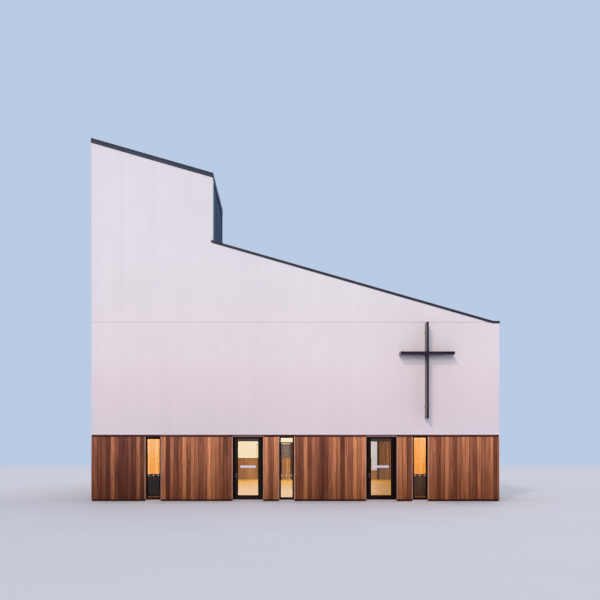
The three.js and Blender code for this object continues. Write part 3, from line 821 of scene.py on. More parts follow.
def clad_stretch(piece, xs, depth, timber, chance, beside, reveal, core, painted_shade=0.0):
    """A stretch of clad wall: core, membrane and boards, and trims where openings stand beside it."""
    start, end = xs
    trim, lip = timber.trim_width, 0.003
    piece.box(core, (0.046, depth), (FLOOR + 0.004, TIMBER_TOP), "inner_plaster")
    piece.box(core, (0.024, 0.045), (FLOOR - 0.004, TIMBER_TOP - 0.004), "wall_membrane")
    for is_open, x, inward in ((beside[0], start, 1), (beside[1], end, -1)):
        if is_open:
            piece.box(sorted((x, x + inward * trim)), (-0.001, 0.034), (TIMBER_ZS[0], TIMBER_TOP - 0.008),
                      "trim_timber", 0.003, chance.uniform(0.35, 0.75))
            piece.box(sorted((x, x + inward * lip)), (0.034, reveal), (FLOOR, TIMBER_TOP), "dark_aluminium")
    boarded = (start + (trim if beside[0] else 0.0), end - (trim if beside[1] else 0.0))
    lay_boards(piece, boarded, timber, chance, painted_shade)
    # Dark starter strip under the boards, which also gives the painted shadow line beneath them.
    piece.box((start + 0.004, end - 0.004), (0.007, 0.023), SKIRT_AND_SHADOW_ZS, "dark_aluminium", 0.002)


def corner_post(piece, x, tone):
    """Timber corner that covers the ends of two walls' boards, in the wall's own frame."""
    out, face, leg, thick = math.copysign(1, x), -0.004, CORNER_LEG + CORNER_PROUD, 0.022

    def angle(x, y, leg, thick):
        return [(x, y), (x - out * leg, y), (x - out * leg, y + thick),
                (x - out * thick, y + thick), (x - out * thick, y + leg), (x, y + leg)]

    post = prism(angle(x, face, leg, thick), "Z", TIMBER_ZS, 0.004, 2, lambda e: runs(e, "Z"))
    piece.put(post, "cladding_timber", tone)
    inner = out * (abs(x) - 0.012)
    # Dark starter strip at the corner, which also gives the painted shadow line under the boards.
    piece.put(prism(angle(inner, face + 0.012, 0.05, 0.012), "Z", SKIRT_AND_SHADOW_ZS, 0.002), "dark_aluminium")
    piece.box(sorted((inner, inner - out * 0.06)), (face + 0.009, face + 0.07),
              (TIMBER_TOP - 0.02, RENDER_BOTTOM - 0.0045), "dark_recess", 0.003)


class CHURCH_OT_front_cladding(bpy.types.Operator):
    """Timber boards of the street front and the dark band above them"""
    bl_idname = "church.front_cladding"
    bl_label = "Front Cladding"
    bl_options = {"REGISTER", "UNDO"}

    def execute(self, context):
        timber = context.scene.church_timber
        chance = random.Random(timber.seed)
        gaps = openings()
        reveals = [0.0] + [0.13 if end - start > SLIT_WIDTH + 0.1 else 0.06 for start, end in gaps] + [0.0]
        corner = CLAD_X - CORNER_LEG
        for i, (start, end) in enumerate(between(gaps, -corner, corner)):
            first, last = i == 0, i == len(gaps)
            piece = Piece(f"front_cladding_{i + 1}", wall_matrix("front"))
            core = (start + (0.008 if first else 0.003), end - (0.008 if last else 0.003))
            if first or last:
                corner_post(piece, math.copysign(CLAD_X + CORNER_PROUD, start), 0.3 if first else 0.6)
            # The far-left stretch's boards get painted shade: their tone is lowered, as less light falls
            # there.
            clad_stretch(piece, (start, end), FRONT_DEPTH, timber, chance, (not first, not last),
                         max(reveals[i:i + 2]), core, -0.42 if first else 0.0)
            piece.done("timber_cladding", (f"front_pier_{i + 1}",))

        band = Piece("front_head_band")
        low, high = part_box("front_head_beam")
        band.put(block(*zip(low, high), 0.002), "dark_recess")
        zs = (low.z + 0.003, low.z + 0.064)
        count = 6
        for i in range(count):
            ends = [low.x - 0.04 + (high.x - low.x + 0.08) * k / count for k in (i, i + 1)]
            band.box((ends[0], ends[1] - 0.002), (low.y - 0.024, low.y), zs, "head_timber", 0.003,
                     0.3 + 0.4 * (i % 2))
        for xs in ((low.x - 0.024, low.x), (high.x, high.x + 0.024)):
            band.box(xs, (low.y + 0.002, high.y - 0.002), zs, "side_head_timber", 0.003)
        for number, x in enumerate(DOORS):
            band.box(around(x, DOOR_WIDTH / 2 - 0.002), (low.y - 0.0285, low.y - 0.002),
                     (low.z - 0.018, low.z + 0.05), "head_flashing", 0.003, 0.4 + 0.1 * number)
        band.done("dark_metal", ("front_head_beam",))
        return {"FINISHED"}


class CHURCH_OT_side_cladding(bpy.types.Operator):
    """Timber boards of the sides and rear"""
    bl_idname = "church.side_cladding"
    bl_label = "Side Cladding"
    bl_options = {"REGISTER", "UNDO"}

    def execute(self, context):
        timber = context.scene.church_timber
        chance = random.Random(timber.seed + 7)
        side_gaps = [around(y, SLIT_WIDTH / 2) for y in SIDE_SLITS]
        for side, gaps, half, band in (
                ("left", side_gaps, CLAD_Y - 0.048, (0.03 - CLAD_Y, -FRONT_INSIDE)),
                ("right", side_gaps, CLAD_Y - 0.048, (FRONT_INSIDE, CLAD_Y - 0.03)),
                ("rear", openings(-1), CLAD_X - CORNER_LEG, (0.03 - CLAD_X, CLAD_X - 0.03))):
            piece = Piece(f"{side}_cladding", wall_matrix(side))
            core_end = CLAD_X - 0.046 if side == "rear" else CLAD_Y - FRONT_DEPTH
            if side == "rear":
                corner_post(piece, CLAD_X + CORNER_PROUD, 0.4)
                corner_post(piece, -CLAD_X - CORNER_PROUD, 0.7)
            for i, (start, end) in enumerate(between(gaps, -half, half)):
                first, last = i == 0, i == len(gaps)
                core = (-core_end if first else start + 0.003, core_end if last else end - 0.003)
                clad_stretch(piece, (start, end), SIDE_DEPTH, timber, chance,
                             (not first, not last), 0.08, core)
            piece.box((-core_end, core_end), (0.06, SIDE_DEPTH), (TIMBER_TOP, RENDER_BOTTOM), "inner_plaster")
            piece.box(band, (0.03, 0.06), (TIMBER_TOP, RENDER_BOTTOM), "dark_recess", 0.002)
            finish = "head_timber" if side == "rear" else "side_head_timber"
            lengths = evenly(*band, 2.3)
            for i, (x0, x1) in enumerate(zip(lengths, lengths[1:])):
                piece.box((x0, x1 - 0.002), (0.006, 0.031), HEAD_ZS, finish, 0.003, 0.3 + 0.4 * (i % 2))
            piece.done("timber_cladding", (f"{side}_wall_lower",))
        return {"FINISHED"}


# White walls

def coping_height(x):
    return main_line(x) - COPING - CLEARANCE


def tower_coping_height(x):
    return tower_line(x) - TOWER_COPING - CLEARANCE


def coping_reach(z):
    """Where along X the underside of the coping comes down to z."""
    return EAVE_X - (z + COPING + CLEARANCE - EAVE_TOP) / PITCH


def at_seam(edge):
    """Whether an edge lies where a cross wall and a long wall join."""
    return any(all(near(v.co.y, y) for v in edge.verts) for y in (FRONT_INSIDE, REAR_INSIDE))


class CHURCH_OT_white_walls(bpy.types.Operator):
    """Rendered walls with their joints and beads"""
    bl_idname = "church.white_walls"
    bl_label = "White Walls"
    bl_options = {"REGISTER", "UNDO"}

    def execute(self, context):
        wall = context.scene.church_wall
        corner, back = wall.corner, wall.joint_depth
        lower = [(LEFT, RENDER_BOTTOM), (RIGHT, RENDER_BOTTOM), (RIGHT, WALL_TOP),
                 (coping_reach(WALL_TOP), WALL_TOP), (coping_reach(JOINT_LOW), JOINT_LOW), (LEFT, JOINT_LOW)]
        upper = [(LEFT, JOINT_HIGH), (coping_reach(JOINT_HIGH), JOINT_HIGH)]
        tower_top = [(TOWER_RIGHT, coping_height(TOWER_RIGHT)),
                     (TOWER_RIGHT, tower_coping_height(TOWER_RIGHT)),
                     (LEFT, tower_coping_height(LEFT))]
        for side, ys, filler, bead, top, nodes in (
                ("front", (FRONT, FRONT_INSIDE), (FRONT + back, FRONT_INSIDE), (FRONT - 0.003, FRONT + 0.03),
                 tower_top, ("front_wall_lower", "front_wall_joint", "front_wall_upper")),
                ("rear", (REAR_INSIDE, REAR), (REAR_INSIDE, REAR - back), (REAR - 0.03, REAR + 0.003),
                 [(LEFT, coping_height(LEFT))], ("rear_wall_upper",))):
            piece = Piece(f"{side}_white_wall")
            for outline in (lower, upper + top):
                piece.put(prism(outline, "Y", ys, corner, 2, lambda e: not at_seam(e)), "wall_render")
            filler_xs = (LEFT + back, coping_reach(JOINT_HIGH) - 0.05)
            piece.box(filler_xs, filler, FILLER_ZS, "joint_filler")
            piece.box((LEFT - 0.003, RIGHT + 0.003), bead, BEAD_ZS, "render_bead", 0.002)
            piece.done("white_render", nodes)

        half_joint = wall.joint / 2
        bays = (FRONT_INSIDE, -BAY_JOINT, BAY_JOINT, REAR_INSIDE)
        top, high = coping_height(-SIDE_INSIDE), tower_coping_height(-SIDE_INSIDE)
        for side, xs, sign in (("left", (LEFT, -SIDE_INSIDE), -1), ("right", (SIDE_INSIDE, RIGHT), 1)):
            face = xs[0] if sign < 0 else xs[1]
            piece = Piece(f"{side}_white_wall")
            for i in range(3):
                y0 = bays[i] + (half_joint if i else 0.0)
                y1 = bays[i + 1] - (half_joint if i < 2 else 0.0)
                lower_top = JOINT_LOW if sign < 0 else WALL_TOP
                outlines = [[(y0, RENDER_BOTTOM), (y1, RENDER_BOTTOM), (y1, lower_top), (y0, lower_top)]]
                if sign < 0:
                    step = [(y0, top)] if i else [(TOWER_REAR, top), (TOWER_REAR, high), (y0, high)]
                    outlines.append([(y0, JOINT_HIGH), (y1, JOINT_HIGH), (y1, top)] + step)
                for outline in outlines:
                    part = prism(outline, "X", xs, corner, 2,
                                 lambda e: all(near(v.co.x, face) for v in e.verts) and not at_seam(e))
                    piece.put(part, "wall_render")
            inner = sorted((face - sign * back, face - sign * SIDE_DEPTH))
            if sign < 0:
                piece.box(inner, (FRONT_INSIDE, REAR_INSIDE), FILLER_ZS, "joint_filler")
            head = top if sign < 0 else WALL_TOP
            for y in bays[1:3]:
                piece.box(inner, around(y, half_joint + 0.004), (RENDER_BOTTOM + 0.004, head - 0.01),
                          "joint_filler")
            bead = sorted((face + sign * 0.003, face - sign * 0.03))
            piece.box(bead, (FRONT + 0.03, REAR - 0.03), BEAD_ZS, "render_bead", 0.002)
            piece.done("white_render", (f"{side}_wall_upper",))
        return {"FINISHED"}


# Roofs

def decked(piece, plan, top, thickness):
    """A roof over a plan: its metal sheet and the lining under it."""
    piece.put(sloped(prism(plan, "Z", (-TRAY_THICKNESS, 0.0)), top), "roof_trays")
    piece.put(sloped(prism(plan, "Z", (-thickness, -TRAY_THICKNESS)), top), "inner_plaster")


class CHURCH_OT_roofs(bpy.types.Operator):
    """Standing-seam roofs of the hall and tower"""
    bl_idname = "church.roofs"
    bl_label = "Roofs"
    bl_options = {"REGISTER", "UNDO"}

    def execute(self, context):
        metal = context.scene.church_metal

        def standing_seam(piece, number, xs, y, top):
            rib = block(xs, around(y, metal.seam_width / 2), (-0.002, metal.seam_height), 0.005, 2,
                        lambda e: runs(e, "X") and middle(e).z > 0)
            piece.put(sloped(rib, top), "roof_trays", 0.35 + 0.3 * (number % 2))

        main = Piece("main_roof_trays")
        top = main_line(0) - ROOF_DROP
        decked(main, [(TOWER_RIGHT, FRONT_INSIDE), (SIDE_INSIDE, FRONT_INSIDE), (SIDE_INSIDE, REAR_INSIDE),
                      (-SIDE_INSIDE, REAR_INSIDE), (-SIDE_INSIDE, TOWER_REAR), (TOWER_RIGHT, TOWER_REAR)],
               top, ROOF_THICKNESS)
        for i, y in enumerate(evenly(FRONT_INSIDE, REAR_INSIDE, metal.tray_width)[1:-1]):
            start = TOWER_RIGHT if y < TOWER_REAR + 0.1 else -SIDE_INSIDE
            standing_seam(main, i, (start + 0.09, SIDE_INSIDE - 0.02), y, top)
        for ys, x in (((FRONT_INSIDE, FRONT_INSIDE + 0.12), TOWER_RIGHT),
                      ((REAR_INSIDE - 0.12, REAR_INSIDE), -SIDE_INSIDE)):
            main.put(sloped(block((x, SIDE_INSIDE), ys, (0.0, 0.012), 0.003), top), "coping_metal")
        upstand = block((-SIDE_INSIDE, -SIDE_INSIDE + 0.13), (TOWER_REAR, REAR_INSIDE), (0.0, 0.045), 0.006)
        main.put(sloped(upstand, top), "coping_metal")
        eave = main_line(SIDE_INSIDE) - ROOF_DROP
        main.box((SIDE_INSIDE - 0.004, SIDE_INSIDE + 0.012), (FRONT_INSIDE, REAR_INSIDE),
                 (eave - 0.045, eave + 0.002), "roof_trays", 0.002)
        main.done("roof_metal", ("main_roof",))

        tower = Piece("tower_roof_trays")
        top = tower_line(0) - TOWER_DROP
        decked(tower, [(-SIDE_INSIDE, FRONT_INSIDE), (TOWER_RIGHT, FRONT_INSIDE),
                       (TOWER_RIGHT, TOWER_REAR), (-SIDE_INSIDE, TOWER_REAR)], top, TOWER_THICKNESS)
        for i, y in enumerate(evenly(FRONT_INSIDE, TOWER_REAR, metal.tray_width)[1:-1]):
            standing_seam(tower, i, (-SIDE_INSIDE + 0.09, TOWER_RIGHT - 0.01), y, top)
        apron = block((-SIDE_INSIDE, TOWER_RIGHT), (FRONT_INSIDE, FRONT_INSIDE + 0.12), (0.0, 0.012), 0.003)
        tower.put(sloped(apron, top), "coping_metal")
        foot, rim = tower_line(TOWER_RIGHT) - TOWER_DROP - 0.17, TOWER_EDGE_TOP - 0.012
        verge_face, verge_back = TOWER_RIGHT + 0.014, TOWER_RIGHT - 0.03
        tower.put(prism([(verge_back, foot), (verge_face, foot), (verge_face, rim), (TOWER_RIGHT - 0.05, rim),
                         (TOWER_RIGHT - 0.05, rim - 0.02), (verge_back, rim - 0.02)],
                        "Y", (FRONT_INSIDE, TOWER_REAR + 0.02), 0.003), "tray_metal", 0.3)
        tower.put(sloped(block((-SIDE_INSIDE, verge_face), (TOWER_REAR - 0.06, TOWER_REAR + 0.02),
                               (-0.17, TOWER_DROP - 0.012), 0.005, 2), top), "tray_metal", 0.3)
        tower.done("roof_metal", ("tower_roof",))
        return {"FINISHED"}


class CHURCH_OT_tower_walls(bpy.types.Operator):
    """Metal trays of the tower's right and rear walls"""
    bl_idname = "church.tower_walls"
    bl_label = "Tower Walls"
    bl_options = {"REGISTER", "UNDO"}

    def execute(self, context):
        metal = context.scene.church_metal
        seam = metal.seam_width / 2
        inner = TOWER_RIGHT - TOWER_WALL
        roof = main_line(0) - ROOF_DROP

        def foot(x):
            return main_line(x) - ROOF_DROP - ROOF_THICKNESS

        def head(x, lift=0.0):
            return tower_line(x) - TOWER_DROP - TOWER_THICKNESS - CLEARANCE + lift

        right = Piece("tower_right_trays")
        sheet_back = TOWER_RIGHT - TOWER_SHEET
        right.put(prism([(inner, foot(TOWER_RIGHT)), (sheet_back, foot(TOWER_RIGHT)),
                         (sheet_back, head(TOWER_RIGHT)), (inner, head(inner))],
                        "Y", (FRONT_INSIDE, TOWER_REAR - 0.011)), "inner_plaster")
        base, sheet_top = main_line(TOWER_RIGHT) - ROOF_DROP, tower_line(TOWER_RIGHT) - TOWER_DROP - 0.12
        right.box((sheet_back, TOWER_RIGHT), (FRONT_INSIDE, TOWER_REAR - 0.0105), (base - 0.2, sheet_top),
                  "tray_metal")
        first_rib, rib_pitch = -10.86, 0.56
        for i in range(7):
            out, tone = (metal.wall_seam * 0.4, 0.44) if i % 2 else (metal.wall_seam, 0.56)
            rib = block((TOWER_RIGHT, TOWER_RIGHT + out), around(first_rib + rib_pitch * i, seam),
                        (base + 0.01, sheet_top), 0.004, 2,
                        lambda e: runs(e, "Z") and middle(e).x > TOWER_RIGHT + 0.005)
            right.put(rib, "tray_metal", tone)
        right.box((TOWER_RIGHT, TOWER_RIGHT + 0.008), (TOWER_REAR - 0.03, TOWER_REAR + 0.02),
                  (base, sheet_top), "tray_metal", 0.003, 0.4)
        right.box((TOWER_RIGHT, TOWER_RIGHT + 0.012), (FRONT_INSIDE, TOWER_REAR), (base, base + 0.14),
                  "coping_metal", 0.003)
        apron = block((TOWER_RIGHT, TOWER_RIGHT + 0.13), (FRONT_INSIDE, TOWER_REAR + 0.1),
                      (0.0, 0.014), 0.004)
        right.put(sloped(apron, roof), "coping_metal")
        right.done("roof_metal", ("tower_right_wall",))

        rear = Piece("tower_rear_trays")
        for x1, ys, lift, finish in (
                (inner, (TOWER_REAR - TOWER_WALL, TOWER_REAR - TOWER_SHEET), 0.0, "inner_plaster"),
                (TOWER_RIGHT, (TOWER_REAR - TOWER_SHEET, TOWER_REAR), 0.08, "tray_metal")):
            outline = [(-SIDE_INSIDE, foot(-SIDE_INSIDE)), (x1, foot(x1)), (x1, head(x1, lift)),
                       (-SIDE_INSIDE, head(-SIDE_INSIDE, lift))]
            rear.put(prism(outline, "Y", ys), finish)
        for x in evenly(-SIDE_INSIDE, TOWER_RIGHT, metal.tray_width)[1:-1]:
            rib = block(around(x, seam), (TOWER_REAR, TOWER_REAR + metal.wall_seam),
                        (main_line(x) - ROOF_DROP, head(x, 0.08)), 0.004, 2,
                        lambda e: runs(e, "Z") and middle(e).y > TOWER_REAR + 0.01)
            rear.put(rib, "tray_metal", 0.7)
        for x1, out, zs, edge in ((TOWER_RIGHT, 0.012, (0.0, 0.15), 0.003),
                                  (TOWER_RIGHT + 0.13, 0.13, (0.0, 0.014), 0.004)):
            sheet = block((-SIDE_INSIDE, x1), (TOWER_REAR, TOWER_REAR + out), zs, edge)
            rear.put(sloped(sheet, roof), "coping_metal")
        rear.done("roof_metal", ("tower_rear_wall",))
        return {"FINISHED"}


# Copings and gutter

def strip(line, x0, x1, top, bottom):
    """Outline in (x, z) from bottom under a sloping line to top over it."""
    return [(x0, line(x0) - bottom), (x1, line(x1) - bottom), (x1, line(x1) + top), (x0, line(x0) + top)]


def coping_run(piece, line, thickness, xs, ys, sheet_length, drip, metal="coping_metal"):
    """A folded coping that follows a sloping line, with cover straps and a drip at one face."""
    x0, x1 = xs
    piece.put(prism(strip(line, x0, x1, 0.0, thickness), "Y", ys, 0.004, 2), metal, 0.35)
    count = max(1, round((x1 - x0) / sheet_length))
    for i in range(1, count):
        strap = strip(line, *around(x0 + (x1 - x0) * i / count, STRAP), 0.0014, thickness + 0.001)
        piece.put(prism(strap, "Y", (ys[0] - 0.0014, ys[1] + 0.0014), 0.001), metal, 0.7)
    y, out = drip
    for share, top, bottom, tone in ((0.5, -thickness * 0.48, 0.003, 0.75),
                                     (1.0, 0.014 - thickness, 0.004, 0.6)):
        fold = strip(line, x0, x1, top, thickness + bottom)
        piece.put(prism(fold, "Y", sorted((y, y + out * share)), 0.001), metal, tone)


class CHURCH_OT_copings(bpy.types.Operator):
    """Folded metal copings"""
    bl_idname = "church.copings"
    bl_label = "Copings"
    bl_options = {"REGISTER", "UNDO"}

    def execute(self, context):
        reach = context.scene.church_metal.sheet_length
        wide = OVERHANG - 0.004
        flat_from = EAVE_X - COPING / PITCH + (EAVE_TOP - WALL_TOP) / PITCH

        def eave_end(ys):
            """The level end of a coping over the low eave."""
            back = flat_from - 0.12
            out = RIGHT + OVERHANG
            return prism([(back, main_line(back) - COPING - 0.001), (flat_from, WALL_TOP), (out, WALL_TOP),
                          (out, EAVE_TOP), (EAVE_X, EAVE_TOP), (back, main_line(back) + 0.001)],
                         "Y", ys, 0.002)

        front = Piece("front_coping_metal")
        coping_run(front, main_line, COPING, (TOWER_RIGHT, flat_from), (FRONT - wide, FRONT_INSIDE), reach,
                   (FRONT - wide, -0.004))
        front.put(eave_end((FRONT - wide - 0.001, FRONT_INSIDE)), "coping_metal")
        lap = strip(main_line, TOWER_RIGHT - 0.06, TOWER_RIGHT + 0.02, 0.004, COPING)
        front.put(prism(lap, "Y", (FRONT - OVERHANG, FRONT - 0.0005), 0.002), "coping_metal", 0.95)
        front.done("dark_metal", ("front_coping",))

        rear = Piece("rear_coping_metal")
        coping_run(rear, main_line, COPING, (LEFT - OVERHANG, flat_from), (REAR_INSIDE, REAR + wide), reach,
                   (REAR + wide, 0.004))
        rear.put(eave_end((REAR_INSIDE, REAR + wide + 0.001)), "coping_metal")
        rear.done("dark_metal", ("rear_coping",))

        tower = Piece("tower_front_coping_metal")
        coping_run(tower, tower_line, TOWER_COPING, (LEFT - OVERHANG, TOWER_RIGHT + OVERHANG),
                   (FRONT - wide, FRONT_INSIDE), reach * 0.9, (FRONT - wide, -0.004), "high_coping_metal")
        tower.done("dark_metal", ("tower_front_coping",))

        x0, x1 = LEFT - wide, -SIDE_INSIDE
        for node, finish, line, thickness, ys in (
                ("tower_left_coping", "high_coping_metal", tower_line, TOWER_COPING,
                 (FRONT_INSIDE, TOWER_REAR)),
                ("left_coping", "coping_metal", main_line, COPING, (TOWER_REAR, REAR_INSIDE))):
            piece = Piece(f"{node}_metal")
            sheet = strip(line, x0, x1, 0.0, thickness)
            piece.put(prism(sheet, "Y", ys, 0.003, 1, lambda e: runs(e, "Y")), finish)
            count = max(1, round((ys[1] - ys[0]) / reach))
            strap = strip(line, x0 - 0.0014, x1 + 0.0014, 0.0002, thickness + 0.001)
            for i in range(1, count):
                y = ys[0] + (ys[1] - ys[0]) * i / count
                piece.put(prism(strap, "Y", around(y, STRAP), 0.001), finish, 0.7)
            low = line(x0) - thickness
            piece.box((x0 - 0.004, x0 + 0.001), ys, (low - 0.004, low + 0.014), finish, 0.001, 0.6)
            piece.done("dark_metal", (node,))
        return {"FINISHED"}


class CHURCH_OT_gutter(bpy.types.Operator):
    """Box gutter at the low eave"""
    bl_idname = "church.gutter"
    bl_label = "Gutter"
    bl_options = {"REGISTER", "UNDO"}

    def execute(self, context):
        gutter = Piece("eave_gutter")
        sheet, lip = 0.003, 0.018
        out = RIGHT + OVERHANG
        ys = (FRONT_INSIDE, REAR_INSIDE)
        deep = ys[1] - ys[0]
        gutter.put(prism([(SIDE_INSIDE, WALL_TOP), (out, WALL_TOP), (out, EAVE_TOP), (out - lip, EAVE_TOP),
                          (out - lip, EAVE_TOP - sheet), (out - sheet, EAVE_TOP - sheet),
                          (out - sheet, WALL_TOP + sheet), (SIDE_INSIDE, WALL_TOP + sheet)],
                         "Y", ys), "coping_metal")
        straps, joints = 22, 9
        for i in range(straps + 1):
            y = ys[0] + 0.2 + (deep - 0.4) * i / straps
            gutter.box((SIDE_INSIDE + 0.012, out - sheet), around(y, 0.014),
                       (EAVE_TOP - 0.016, EAVE_TOP - 0.01), "sill_metal", 0.001)
        for i in range(1, joints):
            gutter.box((out - 0.002, out), around(ys[0] + deep * i / joints, 0.03),
                       (WALL_TOP + 0.001, EAVE_TOP - 0.001), "coping_metal", tone=0.8)
        outlet_x = 6.73
        for y in (-7.2, 0.0, 7.2):
            for radius, depth, lift, segments, edge, tip in ((0.06, 0.006, 0.003, 28, 0.001, None),
                                                             (0.045, 0.05, 0.028, 20, 0.004, 0.02)):
                outlet = rod(radius, depth, (outlet_x, y, WALL_TOP + sheet + lift), "Z", segments, edge, tip)
                gutter.put(outlet, "sill_metal")
        gutter.box((out - 0.005, out), ys, (WALL_TOP, WALL_TOP + 0.012), "coping_metal", 0.002)
        gutter.done("dark_metal", ("right_gutter",))
        return {"FINISHED"}


# Windows

def glazing_rings(piece, xs, zs, faces, steps, bead):
    """Beads and gaskets on both sides of a pane. The steps go inwards from each of the two faces."""
    outer, seat, pane = steps
    for near_step, far_step, width, finish, edge in ((outer, seat, bead, "dark_aluminium", 0.0015),
                                                     (seat, pane, bead + 0.003, "gasket_rubber", 0.0)):
        for ys in ((faces[0] + near_step, faces[0] + far_step), (faces[1] - far_step, faces[1] - near_step)):
            piece.ring(xs, ys, zs, (width,) * 4, finish, edge)


def frame_unit(frames, xs, zs, y0, depth, sizes, bead):
    """Window frame with glazing beads and gaskets. Returns the opening left for the pane."""
    side, foot, head = sizes
    frames.ring(xs, (y0, y0 + depth), zs, (side, side, foot, head), "dark_aluminium", 0.002)
    inner_x = (xs[0] + side, xs[1] - side)
    inner_z = (zs[0] + foot, zs[1] - head)
    middle_y = y0 + depth / 2
    glazing_rings(frames, inner_x, inner_z, (middle_y, middle_y), (-0.028, -0.0165, -0.0121), bead)
    return inner_x, inner_z, middle_y


def safety_dots(piece, x, y, door):
    for offset in (-1, 0, 1):
        dot = rod(door.dot_size / 2, 0.0012, (x + offset * door.dot_pitch, y, DOTS_LEVEL), "Y", 28)
        piece.put(dot, "dot_film")


def window_sill(frames, xs, y1):
    """Pressed sill from just behind the boards' face to the frame."""
    frames.box((xs[0] + 0.004, xs[1] - 0.004), (0.022, y1), (FLOOR + 0.0005, FLOOR + 0.006),
               "sill_metal", 0.001)


class CHURCH_OT_slit_windows(bpy.types.Operator):
    """Slit windows of the street front"""
    bl_idname = "church.slit_windows"
    bl_label = "Slit Windows"
    bl_options = {"REGISTER", "UNDO"}

    def execute(self, context):
        door = context.scene.church_door
        for number, x in enumerate(SLITS, 1):
            frames = Piece(f"slit_window_frame_{number}", wall_matrix("front"))
            xs = (x - SLIT_WIDTH / 2 + 0.003, x + SLIT_WIDTH / 2 - 0.003)
            frame_unit(frames, xs, (FLOOR, TIMBER_TOP), 0.06, 0.1, (0.039, 0.068, 0.03), door.bead_width)
            window_sill(frames, xs, 0.06)
            drop = 0.085 if number == 1 else 0.02
            frames.box(xs, (0.12, 0.4), (TIMBER_TOP - drop, TIMBER_TOP - 0.002), "dark_aluminium", 0.003)
            frames.done("frame_metal", (f"slit_frame_{number}",))
            dots = Piece(f"slit_window_dots_{number}", wall_matrix("front"))
            safety_dots(dots, x, 0.0974, door)
            dots.done("glazing")
            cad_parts[f"slit_glass_{number}"].material_slots[0].material = finish_named("clear_glass")
        return {"FINISHED"}


class CHURCH_OT_side_windows(bpy.types.Operator):
    """Windows of the sides and rear"""
    bl_idname = "church.side_windows"
    bl_label = "Side Windows"
    bl_options = {"REGISTER", "UNDO"}

    def execute(self, context):
        door = context.scene.church_door
        side_layout = [(y, SLIT_WIDTH) for y in SIDE_SLITS]
        rear_layout = [(-x, SLIT_WIDTH) for x in SLITS] + [(-x, DOOR_WIDTH) for x in DOORS]
        blinds = []
        for side, layout in (("left", side_layout), ("right", side_layout), ("rear", rear_layout)):
            frames = Piece(f"{side}_window_frames", wall_matrix(side))
            panes = Piece(f"{side}_window_panes", wall_matrix(side))
            reach = CLAD_X - 0.055 if side == "rear" else CLAD_Y - FRONT_DEPTH
            frames.box((-reach, reach), (0.08, 0.14), (FLOOR, FLOOR + 0.02), "dark_aluminium", 0.001)
            for x, width in layout:
                wide = width == DOOR_WIDTH
                xs = (x - width / 2 + 0.003, x + width / 2 - 0.003)
                inner_x, inner_z, middle_y = frame_unit(
                    frames, xs, (FLOOR + 0.02, TIMBER_TOP), 0.08, 0.06, (0.039, 0.06, 0.04), door.bead_width)
                if wide:
                    rail = 0.5 * (inner_z[0] + inner_z[1]) - 0.15
                    frames.box(inner_x, (0.082, 0.138), around(rail, 0.02), "dark_aluminium", 0.002)
                window_sill(frames, xs, 0.08)
                panes.box(inner_x, around(middle_y, 0.012), inner_z, "clear_glass", 0.0008)
                if not wide:
                    safety_dots(panes, x, middle_y - 0.0126, door)
                if side == "rear" and (wide or near(-x, SLITS[1])):
                    blinds.append((x, width))
            frames.done("frame_metal")
            panes.done("glazing", (f"{side}_windows",))
        cover = Piece("rear_roller_blinds", wall_matrix("rear"))
        for x, width in blinds:
            half = width / 2 - 0.022
            cloth = "blind_cloth" if width == DOOR_WIDTH else "dim_cloth"
            cover.put(rod(0.022, width - 0.03, (x, 0.2, 2.165), "X", 20, 0.002), "dark_aluminium")
            cover.box(around(x, half), (0.221, 0.2225), (0.11, 2.17), cloth)
            cover.put(rod(0.008, 2 * half + 0.005, (x, 0.2218, 0.105), "X", 14, 0.002), "sill_metal")
        cover.done("wood_lining")
        return {"FINISHED"}


# Doors

def hinge(piece, x, y, level, sign):
    """Half a hinge: a knuckle with its pin's cap and a screwed plate on the door's face."""
    parts = [
        rod(0.011, 0.045, (x, y, level + 0.0225), segments=24, edge=0.001),
        rod(0.0085, 0.005, (x, y, level - 0.002 if sign > 0 else level + 0.047), segments=20, edge=0.0015),
        block(sorted((x, x + sign * 0.03)), (DOOR_FACE - 0.006, DOOR_FACE + 0.001),
              (level, level + 0.045), 0.0012),
        block(sorted((x + sign * 0.001, x + sign * 0.0105)), (y + 0.004, DOOR_FACE - 0.004),
              (level + 0.001, level + 0.044), 0.0008),
    ]
    for height in (0.011, 0.034):
        screw = (x + sign * 0.022, DOOR_FACE - 0.0065, level + height)
        parts.append(rod(0.0035, 0.002, screw, "Y", 12, 0.0005))
    for part in parts:
        piece.put(part, "dark_aluminium")


def lever(piece, x, face, out):
    """Lever handle on a rose, with a keyhole rose below. out is -1 for outside, 1 for inside."""
    def at(distance, level=0.0):
        return x, face + out * distance, HANDLE_LEVEL + level

    def depth(low, high):
        return sorted((face + out * low, face + out * high))

    piece.put(rod(0.026, 0.008, at(0.004), "Y", 32, 0.002), "handle_steel")
    piece.put(rod(0.0095, 0.046, at(0.031), "Y", 24), "handle_steel")
    bar = block((x - 0.0105, x + 0.118), depth(0.047, 0.061), around(HANDLE_LEVEL, 0.0095), 0.006, 3)
    piece.put(bar, "handle_steel")
    end = block((x + 0.108, x + 0.122), depth(0.03, 0.058), around(HANDLE_LEVEL, 0.008), 0.005, 3)
    piece.put(end, "handle_steel")
    piece.put(rod(0.022, 0.006, at(0.003, -0.085), "Y", 32, 0.0015), "handle_steel")
    piece.put(rod(0.0088, 0.004, at(0.0075, -0.082), "Y", 24, 0.001), "sill_metal")
    piece.box(around(x, 0.0012), depth(0.0085, 0.0098), (HANDLE_LEVEL - 0.089, HANDLE_LEVEL - 0.076),
              "gasket_rubber")


